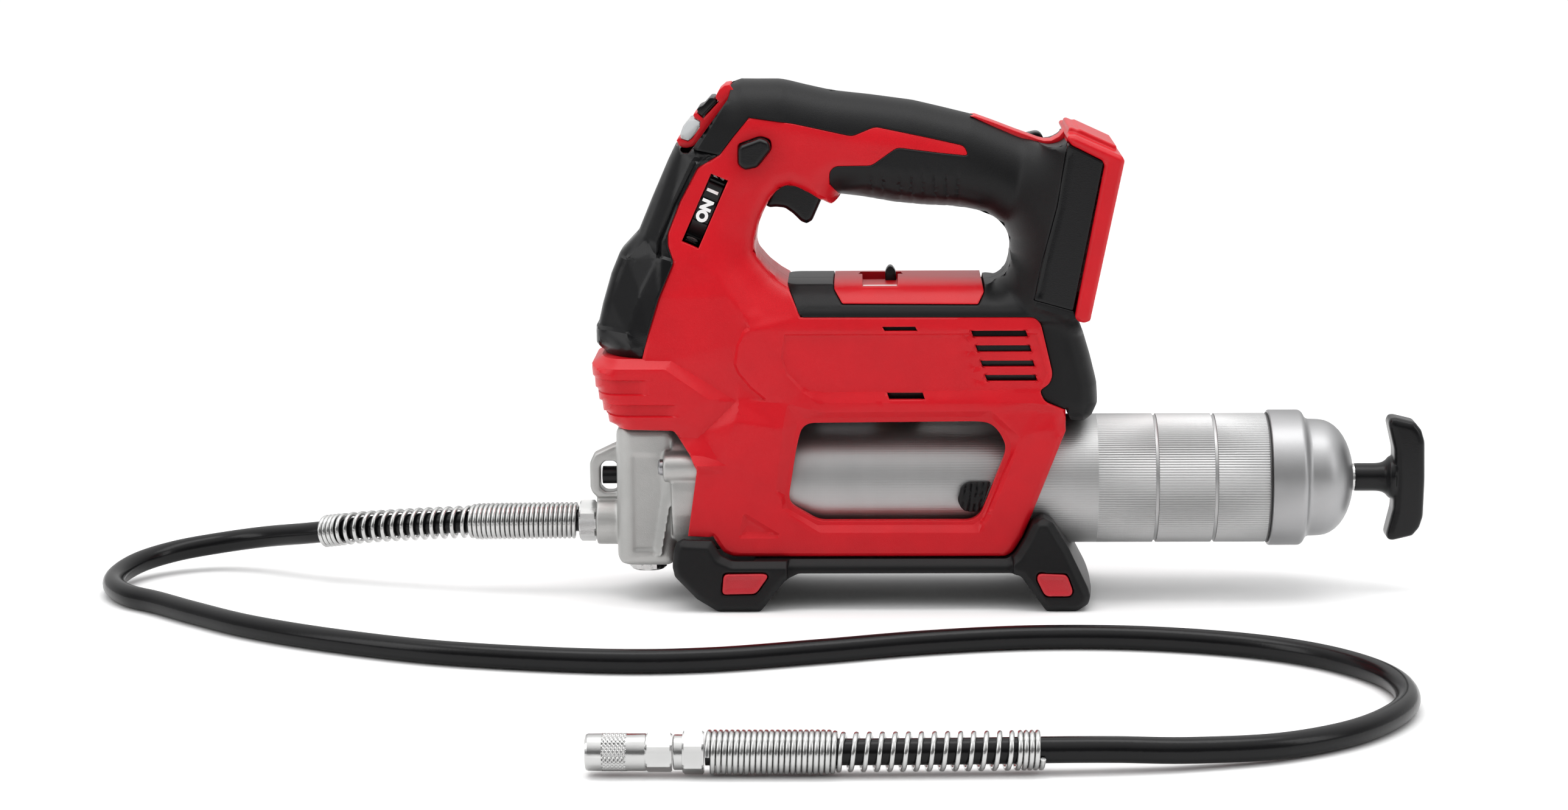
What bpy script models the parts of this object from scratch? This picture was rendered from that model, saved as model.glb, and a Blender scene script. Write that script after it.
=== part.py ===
"""Cordless grease gun with a flexible hose, modelled as separate pieces.

Frame: +Z up, +X from the hose outlet to the T-handle, -Y is the tool's left side, and the
origin lies under the middle of the tool on the plane of its feet.
Every size below is in millimetres, and MM turns it into Blender's metres when a mesh is made.
"""
import math

import bmesh
import bpy
from mathutils import Matrix, Vector

MM = 0.001
GAP = 0.3                      # clearance between touching pieces
MERGE = 0.01                   # weld distance for curve caps
FAR = 300.0                    # reach of a cutter that goes all the way through
CLEAR = 0.5                    # room around pieces that are set into the housing
OVERRUN = 5.0                  # how far a cutter runs past what it cuts
OVERLAP = 1.0                  # how far two joined solids share the same space
SEAM = 0.15                    # half the gap between the two housing halves
FLAT_ANGLE = 0.5               # degrees below which neighbouring facets are one face
CORNER_ANGLE = 60.0            # degrees above which an edge is rounded
ROUTE_STEPS = 16               # fine steps between two points of a route

# Facets of round pieces, from pins to bays
PIN_SIDES = 12
SHANK_SIDES = 16
STEM_SIDES = 20
BORE_SIDES = 32
BAY_SIDES = 36
RIM_SIDES = 48
SEAT_SIDES = 64
ROUND_STEPS = 40
CAP_STEPS = 30
PISTON_STEPS = 24

# Main axes and widths
BARREL_Z = 51.6
BARREL_R = 28.6
BARREL_WALL = 1.6
BARREL_X = (-122.0, 115.4)
KNURL_GROOVES = (65.5, 91.3)
GROOVE = (0.9, 0.5, 0.5)       # half widths at the surface and the floor, and depth
MOTOR_Z = 105.0
BODY_HALF = 35.0
SHOULDER_HALF = 29.5
NOSE_HALF = 24.0
HANDLE_HALF = 19.0
CORE_HALF = 16.5
GUARD_HALF = 27.0
FLARE_HALF = 37.4
BAND_HALF = 34.5
BULGE_HALF = 31.0
FOOT_HALF = 42.0
RAIL_HALF = 38.0
COVER_HALF = 20.0

# Rounding of the plates' rims
BODY_ROUND = 7.0
SHOULDER_ROUND = 5.0
NOSE_ROUND = 6.0
CORE_ROUND = 5.0
HANDLE_ROUND = 6.0
FLARE_ROUND = 3.0
BAND_ROUND = 4.0
BULGE_ROUND = 6.0
GUARD_ROUND = 4.0
SKID_ROUND = 2.5
COVER_ROUND = 1.5

# Side outlines, (x, z)
SHOULDER = [(-170, 79.3), (-174.5, 79.8), (-176.5, 86), (-180, 96), (-182, 107.5), (-176.5, 111.5),
            (-140, 112), (-108, 105), (-108, 79.3)]
BODY = [(-139.5, 32.6), (-128, 32), (-124.5, 25), (-120, 23), (-0.5, 23), (2.5, 25), (6.5, 31.5),
        (24.5, 78), (24.5, 87.5), (15, 92), (12.5, 96.5), (18.5, 103.5), (13, 126), (10.5, 128.3),
        (-88, 128.3), (-112, 118), (-118, 100), (-126, 84), (-145.5, 78.8), (-135.5, 62)]
NOSE = [(-176.5, 109), (-177, 124), (-170, 146), (-158, 165), (-145, 194), (-141, 199.5),
        (-118.2, 223.6), (-110, 226.8), (-96, 226.5), (-76, 221.5), (-60, 219), (-60, 206.5),
        (-76, 191.5), (-73.5, 180), (-76.5, 176), (-88.5, 182.5), (-94.5, 185), (-98.5, 184),
        (-102, 180.5), (-107.5, 170.5), (-110, 158), (-107.5, 152), (-102, 146.3), (-95.8, 143),
        (-88, 127), (-90, 110), (-110, 100), (-150, 100)]
CORE = [(-100, 224.5), (-76, 222), (-41, 217.3), (-14, 210.8), (3, 203.5), (16, 198.3), (23, 198),
        (27, 170), (23, 132), (7, 124), (5, 150), (4, 161), (0, 168.3), (-8, 173.5), (-20, 176),
        (-49, 178), (-72, 181), (-78, 190), (-100, 200)]
HANDLE = [(-121.5, 226.6), (-117.5, 229), (-109, 229.7), (-99.5, 229.5), (-87.5, 227), (-59, 222.5),
          (-28.5, 217), (-14, 213.5), (3, 206.5), (13.5, 202), (22, 200), (30, 165), (26, 131),
          (10, 136), (-4, 141.8), (-1, 144.5), (1.5, 150), (1.5, 160), (-1.5, 166), (-9, 171),
          (-21, 173.5), (-49, 175.5), (-63, 178), (-73, 178.2), (-76.7, 185.5), (-75.5, 193),
          (-59, 193), (-48, 201), (-17, 197), (-18.5, 201.5), (-57.5, 210), (-67.5, 206),
          (-92.5, 211.5), (-111.5, 213.5), (-118.5, 206.5), (-124.5, 199), (-133.5, 194.5),
          (-140.3, 200.2), (-118.5, 223.2)]
FLARE = [(21, 203), (26, 203), (40.2, 195.6), (27.6, 131.6), (9, 131.6), (13, 153.5), (18, 177)]
BAND = [(-95.6, 141.7), (-89.4, 128.9), (16, 128.9), (22, 140), (0, 141.7)]
BULGE = [(11, 128.9), (13.6, 126.4), (19, 103.8), (13.2, 96.8), (15.6, 92.4), (25.4, 88), (27.5, 81.4),
         (33.5, 81), (37, 83.5), (39.5, 89), (39, 98), (36, 110), (33, 120), (26.5, 134), (10, 134)]
GUARD = [(-174, 108.5), (-180.5, 114.5), (-180.5, 123), (-173.5, 145.5), (-169.5, 155),
         (-161.5, 163.5), (-148, 195), (-144.5, 201.3), (-141.5, 199.2), (-134.3, 193.8),
         (-142, 178.5), (-147.5, 164.5), (-147.5, 159.5), (-145, 152), (-151.5, 137),
         (-156.5, 120.5), (-159, 108.5)]
WINDOW = [(-86.5, 82.8), (-13.5, 83), (-7, 81), (-1, 69.5), (-12, 41.5), (-16, 39), (-82.5, 39),
          (-94, 46), (-95.5, 49.5), (-90, 80.5)]
SKID = [(-144, 33), (-146, 26.5), (-146.5, 20), (-145.5, 15.5), (-136, 5.5), (-127, 0), (-108, 0),
        (-97.5, 13.5), (-91.5, 16.5), (1.5, 16.5), (5.5, 15.5), (16.5, 0), (30, 0), (34.5, 3),
        (35.5, 6.5), (34.5, 10), (26.5, 27.5), (18, 41.5), (11.5, 41), (7, 31.5), (3, 25),
        (-0.5, 22.5), (-120, 22.5), (-125.4, 25), (-129, 31.6), (-140, 32.0)]
SKID_BAY = ((-160, -37, 16.3), (-111, 37, 60))
SKID_CHANNEL = [(-20, -5), (-16, 7), (16, 7), (20, -5)]
SKID_WAIST = [(-96, -5), (-96, 60), (2, 60), (2, -5)]
WAIST_HALF = 38.0
INSERTS = {"front": [(-124.8, 8.2), (-110, 8.5), (-104.6, 16.2), (-106, 17.4), (-124, 17.2)],
           "rear": [(16, 7.2), (27, 7.2), (28, 9.5), (25.3, 16.8), (13, 17.3), (12.2, 14.8)]}
INSERT_SUNK = 0.4              # how far an insert's face lies below the foot's side
INSERT_DEPTH = 3.0
RAIL_FRAME = [(23.5, 207.4), (28, 207.6), (49.5, 198), (35, 127.5), (31, 126.1), (28.2, 129),
              (40.8, 196.2), (26.5, 203.4)]
RAIL_CLEAR_HALF = 43.0
RAIL_ROUND = 1.5
BATTERY_BAY = [(31.3, 120), (46.0, 191.5), (60, 191.5), (60, 120)]
BATTERY_BAY_HALF = 29.0
RAIL_GROOVE = [(31.3, 120), (46.0, 191.5), (48.6, 191.5), (33.9, 120)]
RAIL_GROOVE_HALF = 33.5
TERMINAL_BLOCK = [(31.7, 140), (38.0, 170.5), (43.6, 169.6), (37.4, 140)]
TERMINAL_HALF = 14.0
BLADE_SLOT = [(33.3, 130), (39.8, 164), (60, 164), (60, 130)]
BLADE_SLOT_HALF = 1.6
BLADE = [(36.2, 143.2), (39.9, 162), (41.9, 161.6), (38.0, 143.2)]
BLADE_HALF = 0.5
BLADE_Y = (-8.0, 0.0, 8.0)
WIRING_TRAY = ((-74, -15, 128), (-40, 15, 136))
COVER = [(-75.5, 143.6), (-76, 139.5), (-72.5, 133.8), (-13, 133.8), (-10, 139), (-11, 143.6)]
SELECTOR_SLOT = ((-63.2, -4, 130), (-47.0, 4, 150))
SELECTOR_TRACK = ((-70.5, -6.5, 130), (-41.0, 6.5, 138.2))
SELECTOR_PLATE = ((-58.5, -5.8, 136.6), (-43.5, 5.8, 137.8))
SELECTOR_TAB = ((-53, -3.4, 137), (-48.5, 3.4, 146.3))
TAB_ROUND = 0.8
TRIGGER = [(-105.8, 175.5), (-105.3, 173.5), (-101, 174), (-97, 173.5), (-93.5, 171), (-90, 167.5),
           (-87.5, 166.5), (-85, 168), (-81, 177), (-79, 186), (-84, 193), (-96, 188.5), (-103, 182)]
TRIGGER_HALF = 8.0
TRIGGER_ROUND = 1.5
TRIGGER_POCKET = [(-108, 172), (-105, 182), (-99, 191), (-88, 201), (-70, 201), (-69, 190),
                  (-77, 181), (-79.6, 175), (-80, 160), (-107, 160)]
LOCK_BUTTON = [(-116.5, 202.5), (-116.5, 194), (-113.5, 192.3), (-108.5, 193.3), (-102.5, 201),
               (-103, 204.5), (-107, 206)]
SWITCH_BODY = ((-64, -10, 188), (-38, 10, 207))
SWITCH_PIN = (-69, -63, 2.5, 196)           # x ends, radius and z
LOCK_HALF = 26.5
LOCK_ROUND = 1.2
LOCK_CLEAR = 0.4
DIAL_CENTRE = Vector((-131.3, -5.2, 174.3))
DIAL_AXIS = Vector((0.915, 0.0, -0.403))
DIAL_UP = Vector((0.403, 0.0, 0.915))
DIAL_R = 18.0
DIAL_WIDTH = 7.6
DIAL_WINDOW = (8.4, 33.0)      # across and along the slot
DIAL_AXLE = (2.2, 24.0)        # radius and length
CONTROL_BOARD = ((-150, -18, 133), (-112, 18, 134.6))
OPENING_END = 10.0             # how near the seam the vents and the dial's slot reach
VENTS = [(-15.5, 24.0, 119.6, 3.0), (-14.0, 24.0, 113.2, 3.0), (-11.8, 23.0, 107.1, 2.6),
         (-9.8, 22.5, 100.7, 2.6)]          # left end x, length, low z, height
SMALL_VENTS = [(-54.0, 15.0, 123.2, 1.8), (-52.5, 16.0, 93.0, 2.8)]
VENT_SLANT = 1.6

# Hollows of the housing
BORE_R = 20.3
BORE_X = (-118.0, 22.0)
BARREL_BAY_R = 29.3
BARREL_BAY_X = -125.0
CUP_BAY_R = 32.0
CUP_BAY_X = -165.0
PASSAGE_HALF = 8.0
PASSAGE_Z = (70.0, 90.0)
WINDOW_END = 22.0
NOSE_HOLLOW = [(-170, 90), (-172, 112), (-172, 124), (-166, 143), (-153, 163), (-141, 190),
               (-135, 198), (-116, 217), (-108, 221.5), (-96, 221), (-80, 216.5), (-78, 203),
               (-81, 196), (-97, 190), (-105, 184), (-112, 171), (-114.5, 157), (-112, 149),
               (-102, 140), (-100, 124), (-112, 112), (-118, 86), (-166, 82)]
NOSE_HOLLOW_HALF = 20.5
CORE_HOLLOW = [(-90, 218), (-60, 214.5), (-40, 212.5), (-12, 205.5), (8, 197), (18, 194), (22, 170),
               (18, 140), (10.5, 137), (9.5, 152), (8.5, 163), (3, 172), (-7, 178), (-20, 180.5),
               (-49, 182.5), (-68, 186), (-90, 197)]
CORE_HOLLOW_HALF = 12.5

# Pump head
HEAD = [(-172, 79), (-172, 20.5), (-170, 17.5), (-166.5, 16.5), (-146, 16.5), (-146, 79)]
HEAD_HALF = 22.8
HEAD_ROUND = 4.0
LUG = [(-170, 68.5), (-172.5, 68.5), (-183, 63.5), (-184.9, 59.5), (-184.9, 48.5), (-184, 46),
       (-181.5, 43.5), (-170, 43.5)]
LUG_SLOT = [(-180.2, 58), (-178, 60.5), (-174, 60.5), (-172.6, 59), (-172.6, 48), (-174, 46.5),
            (-178, 46.5), (-180.2, 48.5)]
LUG_HALF = 4.5
LUG_ROUND = 1.0
CUP_R = 31.5
CUP_X = (-147.0, -112.0)
CUP_BORE_R = 29.0
CUP_FLOOR_X = -122.4
OUTLET_Z = 32.7
OUTLET_R = 10.7
OUTLET_X = -182.0
OUTLET_ROOT_X = -168.0
OUTLET_BORE_R = 3.0
PLUNGER_X = -159.5
PLUNGER_R = 4.5
PLUNGER_Z = (42.0, 95.7)
PUMP_BORE_R = 4.9
PLUG_BORE_R = 5.3
PLUG_TOP_Z = 24.0
PLUG_HEX_R = 8.2
PLUG_HEX_Z = (11.2, 16.2)
PLUG_SHANK_Z = 15.0
INLET_R = 4.0
BALL_R = 4.2
TOWER_R = 6.5
TOWER_X = (-150.0, -133.0)
TOWER_Y = 27.0
TOWER_Z = 62.0
SCREW_HEAD_R = 3.6
SCREW_SHANK_R = 2.0
SCREW_HEAD = 2.8
SCREW_SHANK = 6.0
SHANK_HOLE = 8.0
BLEED_R = 4.0
BLEED_REST = 2.2               # room behind the bleed valve
BLEED_AHEAD = 0.5              # its bore starts this far ahead of it, inside the slot
BLEED_X = (-179.4, -167.5)
BLEED_Z = 53.5

# Barrel, cap and follower
CAP_PROFILE = [(115.7, 30.1), (129.3, 30.1), (131.6, 26.4), (139.5, 25.8), (142.5, 24.9),
               (145, 23.4), (147.8, 21), (150.4, 16.8), (153.3, 9.5)]
CAP_BORE_R = 6.4
CAP_WALL = 3.0
CAP_THROAT = (150.0, 153.3)
CAP_MOUTH = (115.7, 22.0)
CAP_INNER = slice(2, 7)        # the part of the profile that the inside follows
ROD_R = 6.0
ROD_X = (-101.0, 171.0)
SOCKET_X = (160.0, 174.0)
PISTON_CUP = [(-118, 0.0), (-118, 26.2), (-115, 26.2), (-111, 24.2), (-103.5, 24.2), (-100.5, 26.2),
              (-100.5, 23.2), (-110, 21.2), (-110, 10.0), (-104.5, 10.0), (-104.5, 6.5), (-105, 6.5),
              (-105, 0.0)]
SPRING_X = (-98.0, 112.0)
SPRING_R = 20.0
SPRING_WIRE_R = 1.1
SPRING_TURNS = 7
SPRING_STEPS = 10
T_BAR = [(168.6, 80), (180, 77.2), (183, 73.5), (184.5, 68.5), (184.9, 51.6), (184.5, 34.7),
         (183, 29.7), (180, 26), (168.6, 23.2), (168.4, 27), (171, 38), (171.3, 51.6), (171, 65),
         (168.4, 76)]
T_HALF = 8.5
T_ROUND = 3.0
PAD_Y = (-34.8, -20.0)
PAD_SEAT_X = (-40.0, 20.0)
PAD_SEAT_GAP = 0.45
PAD_TRIM = ((-30, -45, 36), (10, -31.6, 62))
PAD = [(-20.5, 53), (-22, 47.5), (-20, 43.5), (-15, 42.2), (-12.6, 42.2), (-7.3, 56), (-17.5, 56)]

# Drive train
CAN = (-36.0, 14.0, 19.2, 16.8)             # x ends, outer and inner radius
END_CAP = (14.3, 20.6, 19.2, 3.0)
ARMATURE = [(-72, 2.5), (-30, 2.5), (-30, 14.5), (8, 14.5), (8, 6), (13.6, 6), (13.6, 2.5), (18, 2.5)]
FAN = (-46.0, -43.0, 17.0, -38.6)           # x ends of the disc, radius, blade end
FAN_BLADES = 9
BLADE_ROOT_R = 6.0
BLADE_TIP_GAP = 0.5
FAN_BLADE_HALF = 0.8
GEAR_MODULE = 0.75
ADDENDUM = 0.8                 # tooth heights above and below the pitch circle, in modules
RING_ADDENDUM = 0.65
DEDENDUM = 1.15
TOOTH_SHAPE = (0.32, 0.1)      # half widths of a tooth at its root and tip, in pitches
PLANET_TURN = 190.0            # degrees that bring the planets' teeth into mesh
SUN_TEETH = 12
PLANET_TEETH = 18
RING_TEETH = 48
PLANET_ANGLES = (90.0, 210.0, 330.0)
SUN_X = (-72.0, -58.5)
PLANET_X = (-71.0, -60.0)
RING_X = (-82.0, -57.0)
RING_OUTER_R = 20.0
CARRIER_X = (-79.0, -73.5)
CARRIER_R = 16.0
CARRIER_PIN_R = 2.0
OUTPUT_R = 5.0
OUTPUT_X = (-141.0, -78.0)
BEARING_X = (-116.0, -110.0)
CRANK_X = (-141.0, -135.5)
CRANK_R = 12.5
CRANK_THROW = 8.0
CRANK_PIN_R = 3.0
CRANK_PIN_END = -152.6
YOKE_X = (-166.0, -153.0)
YOKE_HALF = 15.0
YOKE_Z = (96.0, 114.0)
YOKE_ROUND = 1.5
YOKE_SLOT = 6.0

# Light panel on the front slope, measured along the slope from its low end
SLOPE_LOW = Vector((-144.3, 0.0, 202.5))
SLOPE_HIGH = Vector((-121.7, 0.0, 226.4))
PANEL_HALF = 10.5
PANEL_THICK = 3.2
PANEL_LENGTH = 32.0
SLOPE_ROUND = 0.8
BUTTON_SHARE = 0.64
BUTTON_HOLE = (10.0, 11.0, -5.0, 5.0)       # length, width, low and high above the slope
BUTTON = (9.2, 10.2, -2.6, 1.8)
LENS_SHARE = 0.25
LENS_HOLE = (10.4, 14.0, -5.0, 5.0)
LENS = (9.8, 13.4, -2.9, 0.9)

# Flexible hose
HOSE_R = 4.93
SLEEVE_R = 8.3
HOSE_ROUTE = [(-190.3, 0, 32.7), (-215, 0, 32.5), (-240, 3, 31.5), (-265, 9, 29.2), (-290, 17.5, 26.0),
              (-315, 27.9, 21.3), (-339, 42.0, 16.5), (-361, 45.7, 12.8), (-380, 39.8, 10.4),
              (-393.9, 26.4, 8.3), (-400.4, 8.9, 6.2), (-398.6, -9.7, 5.3), (-388.1, -28.4, 5.15),
              (-372.9, -41.4, 5.15), (-351, -62.8, 5.15), (-322, -88, 5.15), (-281, -113, 5.15),
              (-232, -134, 5.15), (-171, -146.5, 5.15), (-127, -144.9, 5.15), (-82, -131.3, 5.15),
              (-37, -115.8, 5.15), (8.5, -107.1, 5.15), (54, -108.9, 5.15), (98, -122.7, 5.15),
              (129, -146, 5.15), (147, -179, 5.15), (146.5, -217, 5.15), (126, -252, 5.15),
              (94, -276, 5.4), (58, -288, 6.8), (30, -292.3, 8.3), (8, -294, 8.7),
              (-20, -295.5, 8.7), (-50, -296.5, 8.7), (-85, -297, 8.7), (-119.6, -297, 8.7)]
HOSE_STEP = 15.8
GUN_SPRING_LENGTH = 123.0
END_SPRING_LENGTH = 121.0
END_Y = -297.0
END_Z = 8.7
NUT_X = (-189.8, -182.3)
NUT_R = 9.4
SLEEVE_GAP = 0.6
ADAPTER_HEX = (8.4, -127.6, -120.0)         # radius and x ends
ADAPTER_NECK = (-131.2, -127.0, 5.0)        # x ends and radius
COUPLER_JAW = (-163.4, -141.0, 6.6)
COUPLER_HEX = (8.0, -142.0, -131.5)
COUPLER_BORE = (-170.0, -150.0, 3.6)

COLOURS = {
    "red_nylon": ((0.55, 0.012, 0.02), 0.45, 0.0),
    "black_rubber": ((0.02, 0.02, 0.021), 0.6, 0.0),
    "black_nylon": ((0.012, 0.012, 0.013), 0.35, 0.0),
    "cast_alloy": ((0.55, 0.55, 0.55), 0.45, 0.9),
    "aluminium": ((0.68, 0.68, 0.68), 0.3, 1.0),
    "zinc_steel": ((0.7, 0.7, 0.69), 0.25, 1.0),
    "hose_rubber": ((0.01, 0.01, 0.011), 0.35, 0.0),
    "clear_lens": ((0.85, 0.87, 0.88), 0.1, 0.0),
    "copper": ((0.6, 0.28, 0.14), 0.35, 1.0),
    "brass": ((0.6, 0.42, 0.16), 0.3, 1.0),
    "green_board": ((0.02, 0.13, 0.05), 0.4, 0.0),
    "gear_steel": ((0.3, 0.3, 0.31), 0.35, 1.0),
}


# ---------------------------------------------------------------- helpers

def clear_scene():
    for obj in list(bpy.data.objects):
        bpy.data.objects.remove(obj, do_unlink=True)


def new_collection(name):
    collection = bpy.data.collections.new(name)
    bpy.context.scene.collection.children.link(collection)
    return collection


def make_material(name):
    colour, roughness, metallic = COLOURS[name]
    mat = bpy.data.materials.new(name)
    mat.use_nodes = True
    shader = mat.node_tree.nodes["Principled BSDF"]
    shader.inputs["Base Color"].default_value = (*colour, 1.0)
    shader.inputs["Roughness"].default_value = roughness
    shader.inputs["Metallic"].default_value = metallic
    return mat


def as_part(obj, name, material_name):
    """Name a finished piece, give it its own material and put it in the model's collection."""
    obj.name = name
    obj.data.name = name
    for collection in list(obj.users_collection):
        collection.objects.unlink(obj)
    PARTS.objects.link(obj)
    mat = make_material(material_name)
    mat.name = name + "_" + material_name
    obj.data.materials.clear()
    obj.data.materials.append(mat)
    return obj


def object_from(bm, name):
    mesh = bpy.data.meshes.new(name)
    bm.to_mesh(mesh)
    bm.free()
    obj = bpy.data.objects.new(name, mesh)
    CUTTERS.objects.link(obj)
    obj.hide_render = True
    obj.display_type = "WIRE"
    return obj


def shown(obj):
    obj.hide_render = False
    obj.display_type = "TEXTURED"
    return obj


def meshed(curve_object, name):
    """Turn a curve into a welded, closed mesh object in world space."""
    CUTTERS.objects.link(curve_object)
    bpy.context.view_layer.update()
    depsgraph = bpy.context.evaluated_depsgraph_get()
    mesh = bpy.data.meshes.new_from_object(curve_object.evaluated_get(depsgraph))
    mesh.transform(curve_object.matrix_world)
    bm = bmesh.new()
    bm.from_mesh(mesh)
    bpy.data.meshes.remove(mesh)
    bpy.data.objects.remove(curve_object, do_unlink=True)
    bmesh.ops.remove_doubles(bm, verts=bm.verts, dist=MERGE * MM)
    bmesh.ops.recalc_face_normals(bm, faces=bm.faces)
    return object_from(bm, name)


def prism(loops, low, high, axis="Y"):
    """A flat outline, with any holes as further loops, extruded along an axis from low to high."""
    curve = bpy.data.curves.new("outline", "CURVE")
    curve.dimensions = "2D"
    curve.fill_mode = "BOTH"
    curve.extrude = (high - low) / 2 * MM
    for loop in loops:
        spline = curve.splines.new("POLY")
        spline.points.add(len(loop) - 1)
        spline.use_cyclic_u = True
        for point, (u, v) in zip(spline.points, loop):
            point.co = (u * MM, v * MM, 0.0, 1.0)
    obj = bpy.data.objects.new("outline", curve)
    middle = (high + low) / 2 * MM
    turns = {"X": Matrix(((0, 0, 1, middle), (1, 0, 0, 0), (0, 1, 0, 0), (0, 0, 0, 1))),
             "Y": Matrix(((1, 0, 0, 0), (0, 0, -1, middle), (0, 1, 0, 0), (0, 0, 0, 1))),
             "Z": Matrix.Translation((0, 0, middle))}
    obj.matrix_world = turns[axis]
    return meshed(obj, "prism")


def plate(outline, half, bevel=0.0, segments=2):
    """An outline in side view, made as wide as 2 * half across the tool, with rounded rims."""
    obj = prism([outline], -half, half)
    bm = bmesh.new()
    bm.from_mesh(obj.data)
    bmesh.ops.dissolve_limit(bm, angle_limit=math.radians(FLAT_ANGLE), verts=bm.verts, edges=bm.edges)
    bm.to_mesh(obj.data)
    bm.free()
    if bevel:
        soften(obj, bevel, segments)
    return obj


def soften(obj, width, segments=2):
    bevel = obj.modifiers.new("soft_edges", "BEVEL")
    bevel.width = width * MM
    bevel.segments = segments
    bevel.limit_method = "ANGLE"
    bevel.angle_limit = math.radians(CORNER_ANGLE)
    return obj


def boolean(obj, other, operation):
    mod = obj.modifiers.new(operation.lower(), "BOOLEAN")
    mod.operation = operation
    mod.solver = "EXACT"
    mod.object = other
    return obj


def cut(obj, *cutters):
    for cutter in cutters:
        boolean(obj, cutter, "DIFFERENCE")
    return obj


def join(obj, *others):
    for other in others:
        boolean(obj, other, "UNION")
    return obj


def box(low, high):
    bm = bmesh.new()
    size = [(b - a) * MM for a, b in zip(low, high)]
    middle = [(a + b) / 2 * MM for a, b in zip(low, high)]
    bmesh.ops.create_cube(bm, size=1.0, matrix=Matrix.Translation(middle) @ Matrix.Diagonal((*size, 1.0)))
    return object_from(bm, "box")


def cylinder(start, end, radius, sides=24):
    """A cylinder between two points, each in millimetres."""
    start = Vector(start)
    end = Vector(end)
    along = end - start
    turn = along.to_track_quat("Z", "Y").to_matrix().to_4x4()
    bm = bmesh.new()
    bmesh.ops.create_cone(bm, cap_ends=True, segments=sides, radius1=radius * MM, radius2=radius * MM,
                          depth=along.length * MM,
                          matrix=Matrix.Translation((start + end) / 2 * MM) @ turn)
    return object_from(bm, "cylinder")


def along_x(x0, x1, radius, z=BARREL_Z, y=0.0, sides=24):
    return cylinder((x0, y, z), (x1, y, z), radius, sides)


def turned(profile, z=BARREL_Z, closed=False, steps=ROUND_STEPS, y=0.0):
    """A profile of (x, radius) points, from low x to high x, turned about an axis along X."""
    bm = bmesh.new()
    verts = [bm.verts.new((radius * MM, 0.0, -x * MM)) for x, radius in profile]
    pairs = list(zip(verts, verts[1:]))
    if closed:
        pairs.append((verts[-1], verts[0]))
    for pair in pairs:
        bm.edges.new(pair)
    obj = shown(object_from(bm, "turned"))
    obj.matrix_world = Matrix.Translation((0, y * MM, z * MM)) @ Matrix.Rotation(-math.pi / 2, 4, "Y")
    screw = obj.modifiers.new("turn", "SCREW")
    screw.steps = steps
    screw.render_steps = steps
    screw.use_merge_vertices = True
    screw.merge_threshold = MERGE * MM
    return obj


def ring(x0, x1, outer, inner, z=BARREL_Z, steps=ROUND_STEPS):
    profile = [(x0, inner), (x0, outer), (x1, outer), (x1, inner)]
    return turned(profile, z, closed=True, steps=steps)


def grown(outline, amount):
    """The outline moved outwards by amount, with mitred corners."""
    count = len(outline)
    area = sum(outline[i][0] * outline[(i + 1) % count][1] - outline[(i + 1) % count][0] * outline[i][1]
               for i in range(count))
    side = math.copysign(1.0, area)
    moved = []
    for i, (x, z) in enumerate(outline):
        before = Vector((x - outline[i - 1][0], z - outline[i - 1][1])).normalized()
        after = Vector((outline[(i + 1) % count][0] - x, outline[(i + 1) % count][1] - z)).normalized()
        normal = Vector((before.y + after.y, -before.x - after.x)).normalized() * side
        stretch = max(normal.dot(Vector((after.y, -after.x)) * side), 0.5)
        moved.append((x + normal.x * amount / stretch, z + normal.y * amount / stretch))
    return moved


def polygon(centre, radius, sides, turn=0.0):
    step = 2 * math.pi / sides
    return [(centre[0] + radius * math.cos(turn + i * step), centre[1] + radius * math.sin(turn + i * step))
            for i in range(sides)]


def smooth_route(points, step):
    """Points a step apart along a Catmull-Rom curve through the route's own points."""
    route = [Vector(p) for p in points]
    ends = [route[0] * 2 - route[1]] + route + [route[-1] * 2 - route[-2]]
    fine = []
    for p0, p1, p2, p3 in zip(ends, ends[1:], ends[2:], ends[3:]):
        for i in range(ROUTE_STEPS):
            t = i / ROUTE_STEPS
            fine.append(0.5 * ((2 * p1) + (p2 - p0) * t + (2 * p0 - 5 * p1 + 4 * p2 - p3) * t * t
                               + (3 * p1 - p0 - 3 * p2 + p3) * t ** 3))
    fine.append(route[-1])
    lengths = [0.0]
    for a, b in zip(fine, fine[1:]):
        lengths.append(lengths[-1] + (b - a).length)
    count = round(lengths[-1] / step)
    even = []
    index = 0
    for i in range(count + 1):
        want = lengths[-1] * i / count
        while index < len(lengths) - 2 and lengths[index + 1] < want:
            index += 1
        share = (want - lengths[index]) / (lengths[index + 1] - lengths[index])
        even.append(fine[index].lerp(fine[index + 1], share))
    return even


def tube(points, radius, resolution=2):
    curve = bpy.data.curves.new("tube", "CURVE")
    curve.dimensions = "3D"
    curve.bevel_depth = radius * MM
    curve.bevel_resolution = resolution
    curve.use_fill_caps = True
    spline = curve.splines.new("POLY")
    spline.points.add(len(points) - 1)
    for point, place in zip(spline.points, points):
        point.co = (*(Vector(place) * MM), 1.0)
    return meshed(bpy.data.objects.new("tube", curve), "tube")


def gear_outline(teeth, turn=0.0, inward=False):
    """Straight-flanked gear teeth: root and tip points about the pitch circle."""
    pitch = GEAR_MODULE * teeth / 2
    tip = pitch - RING_ADDENDUM * GEAR_MODULE if inward else pitch + ADDENDUM * GEAR_MODULE
    root = pitch + DEDENDUM * GEAR_MODULE if inward else pitch - DEDENDUM * GEAR_MODULE
    wide, narrow = TOOTH_SHAPE
    step = 2 * math.pi / teeth
    points = []
    for i in range(teeth):
        middle = turn + i * step
        for radius, share in ((root, -wide), (tip, -narrow), (tip, narrow), (root, wide)):
            angle = middle + share * step
            points.append((radius * math.cos(angle), radius * math.sin(angle)))
    return points


def lifted(points, z):
    return [(y, v + z) for y, v in points]


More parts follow.
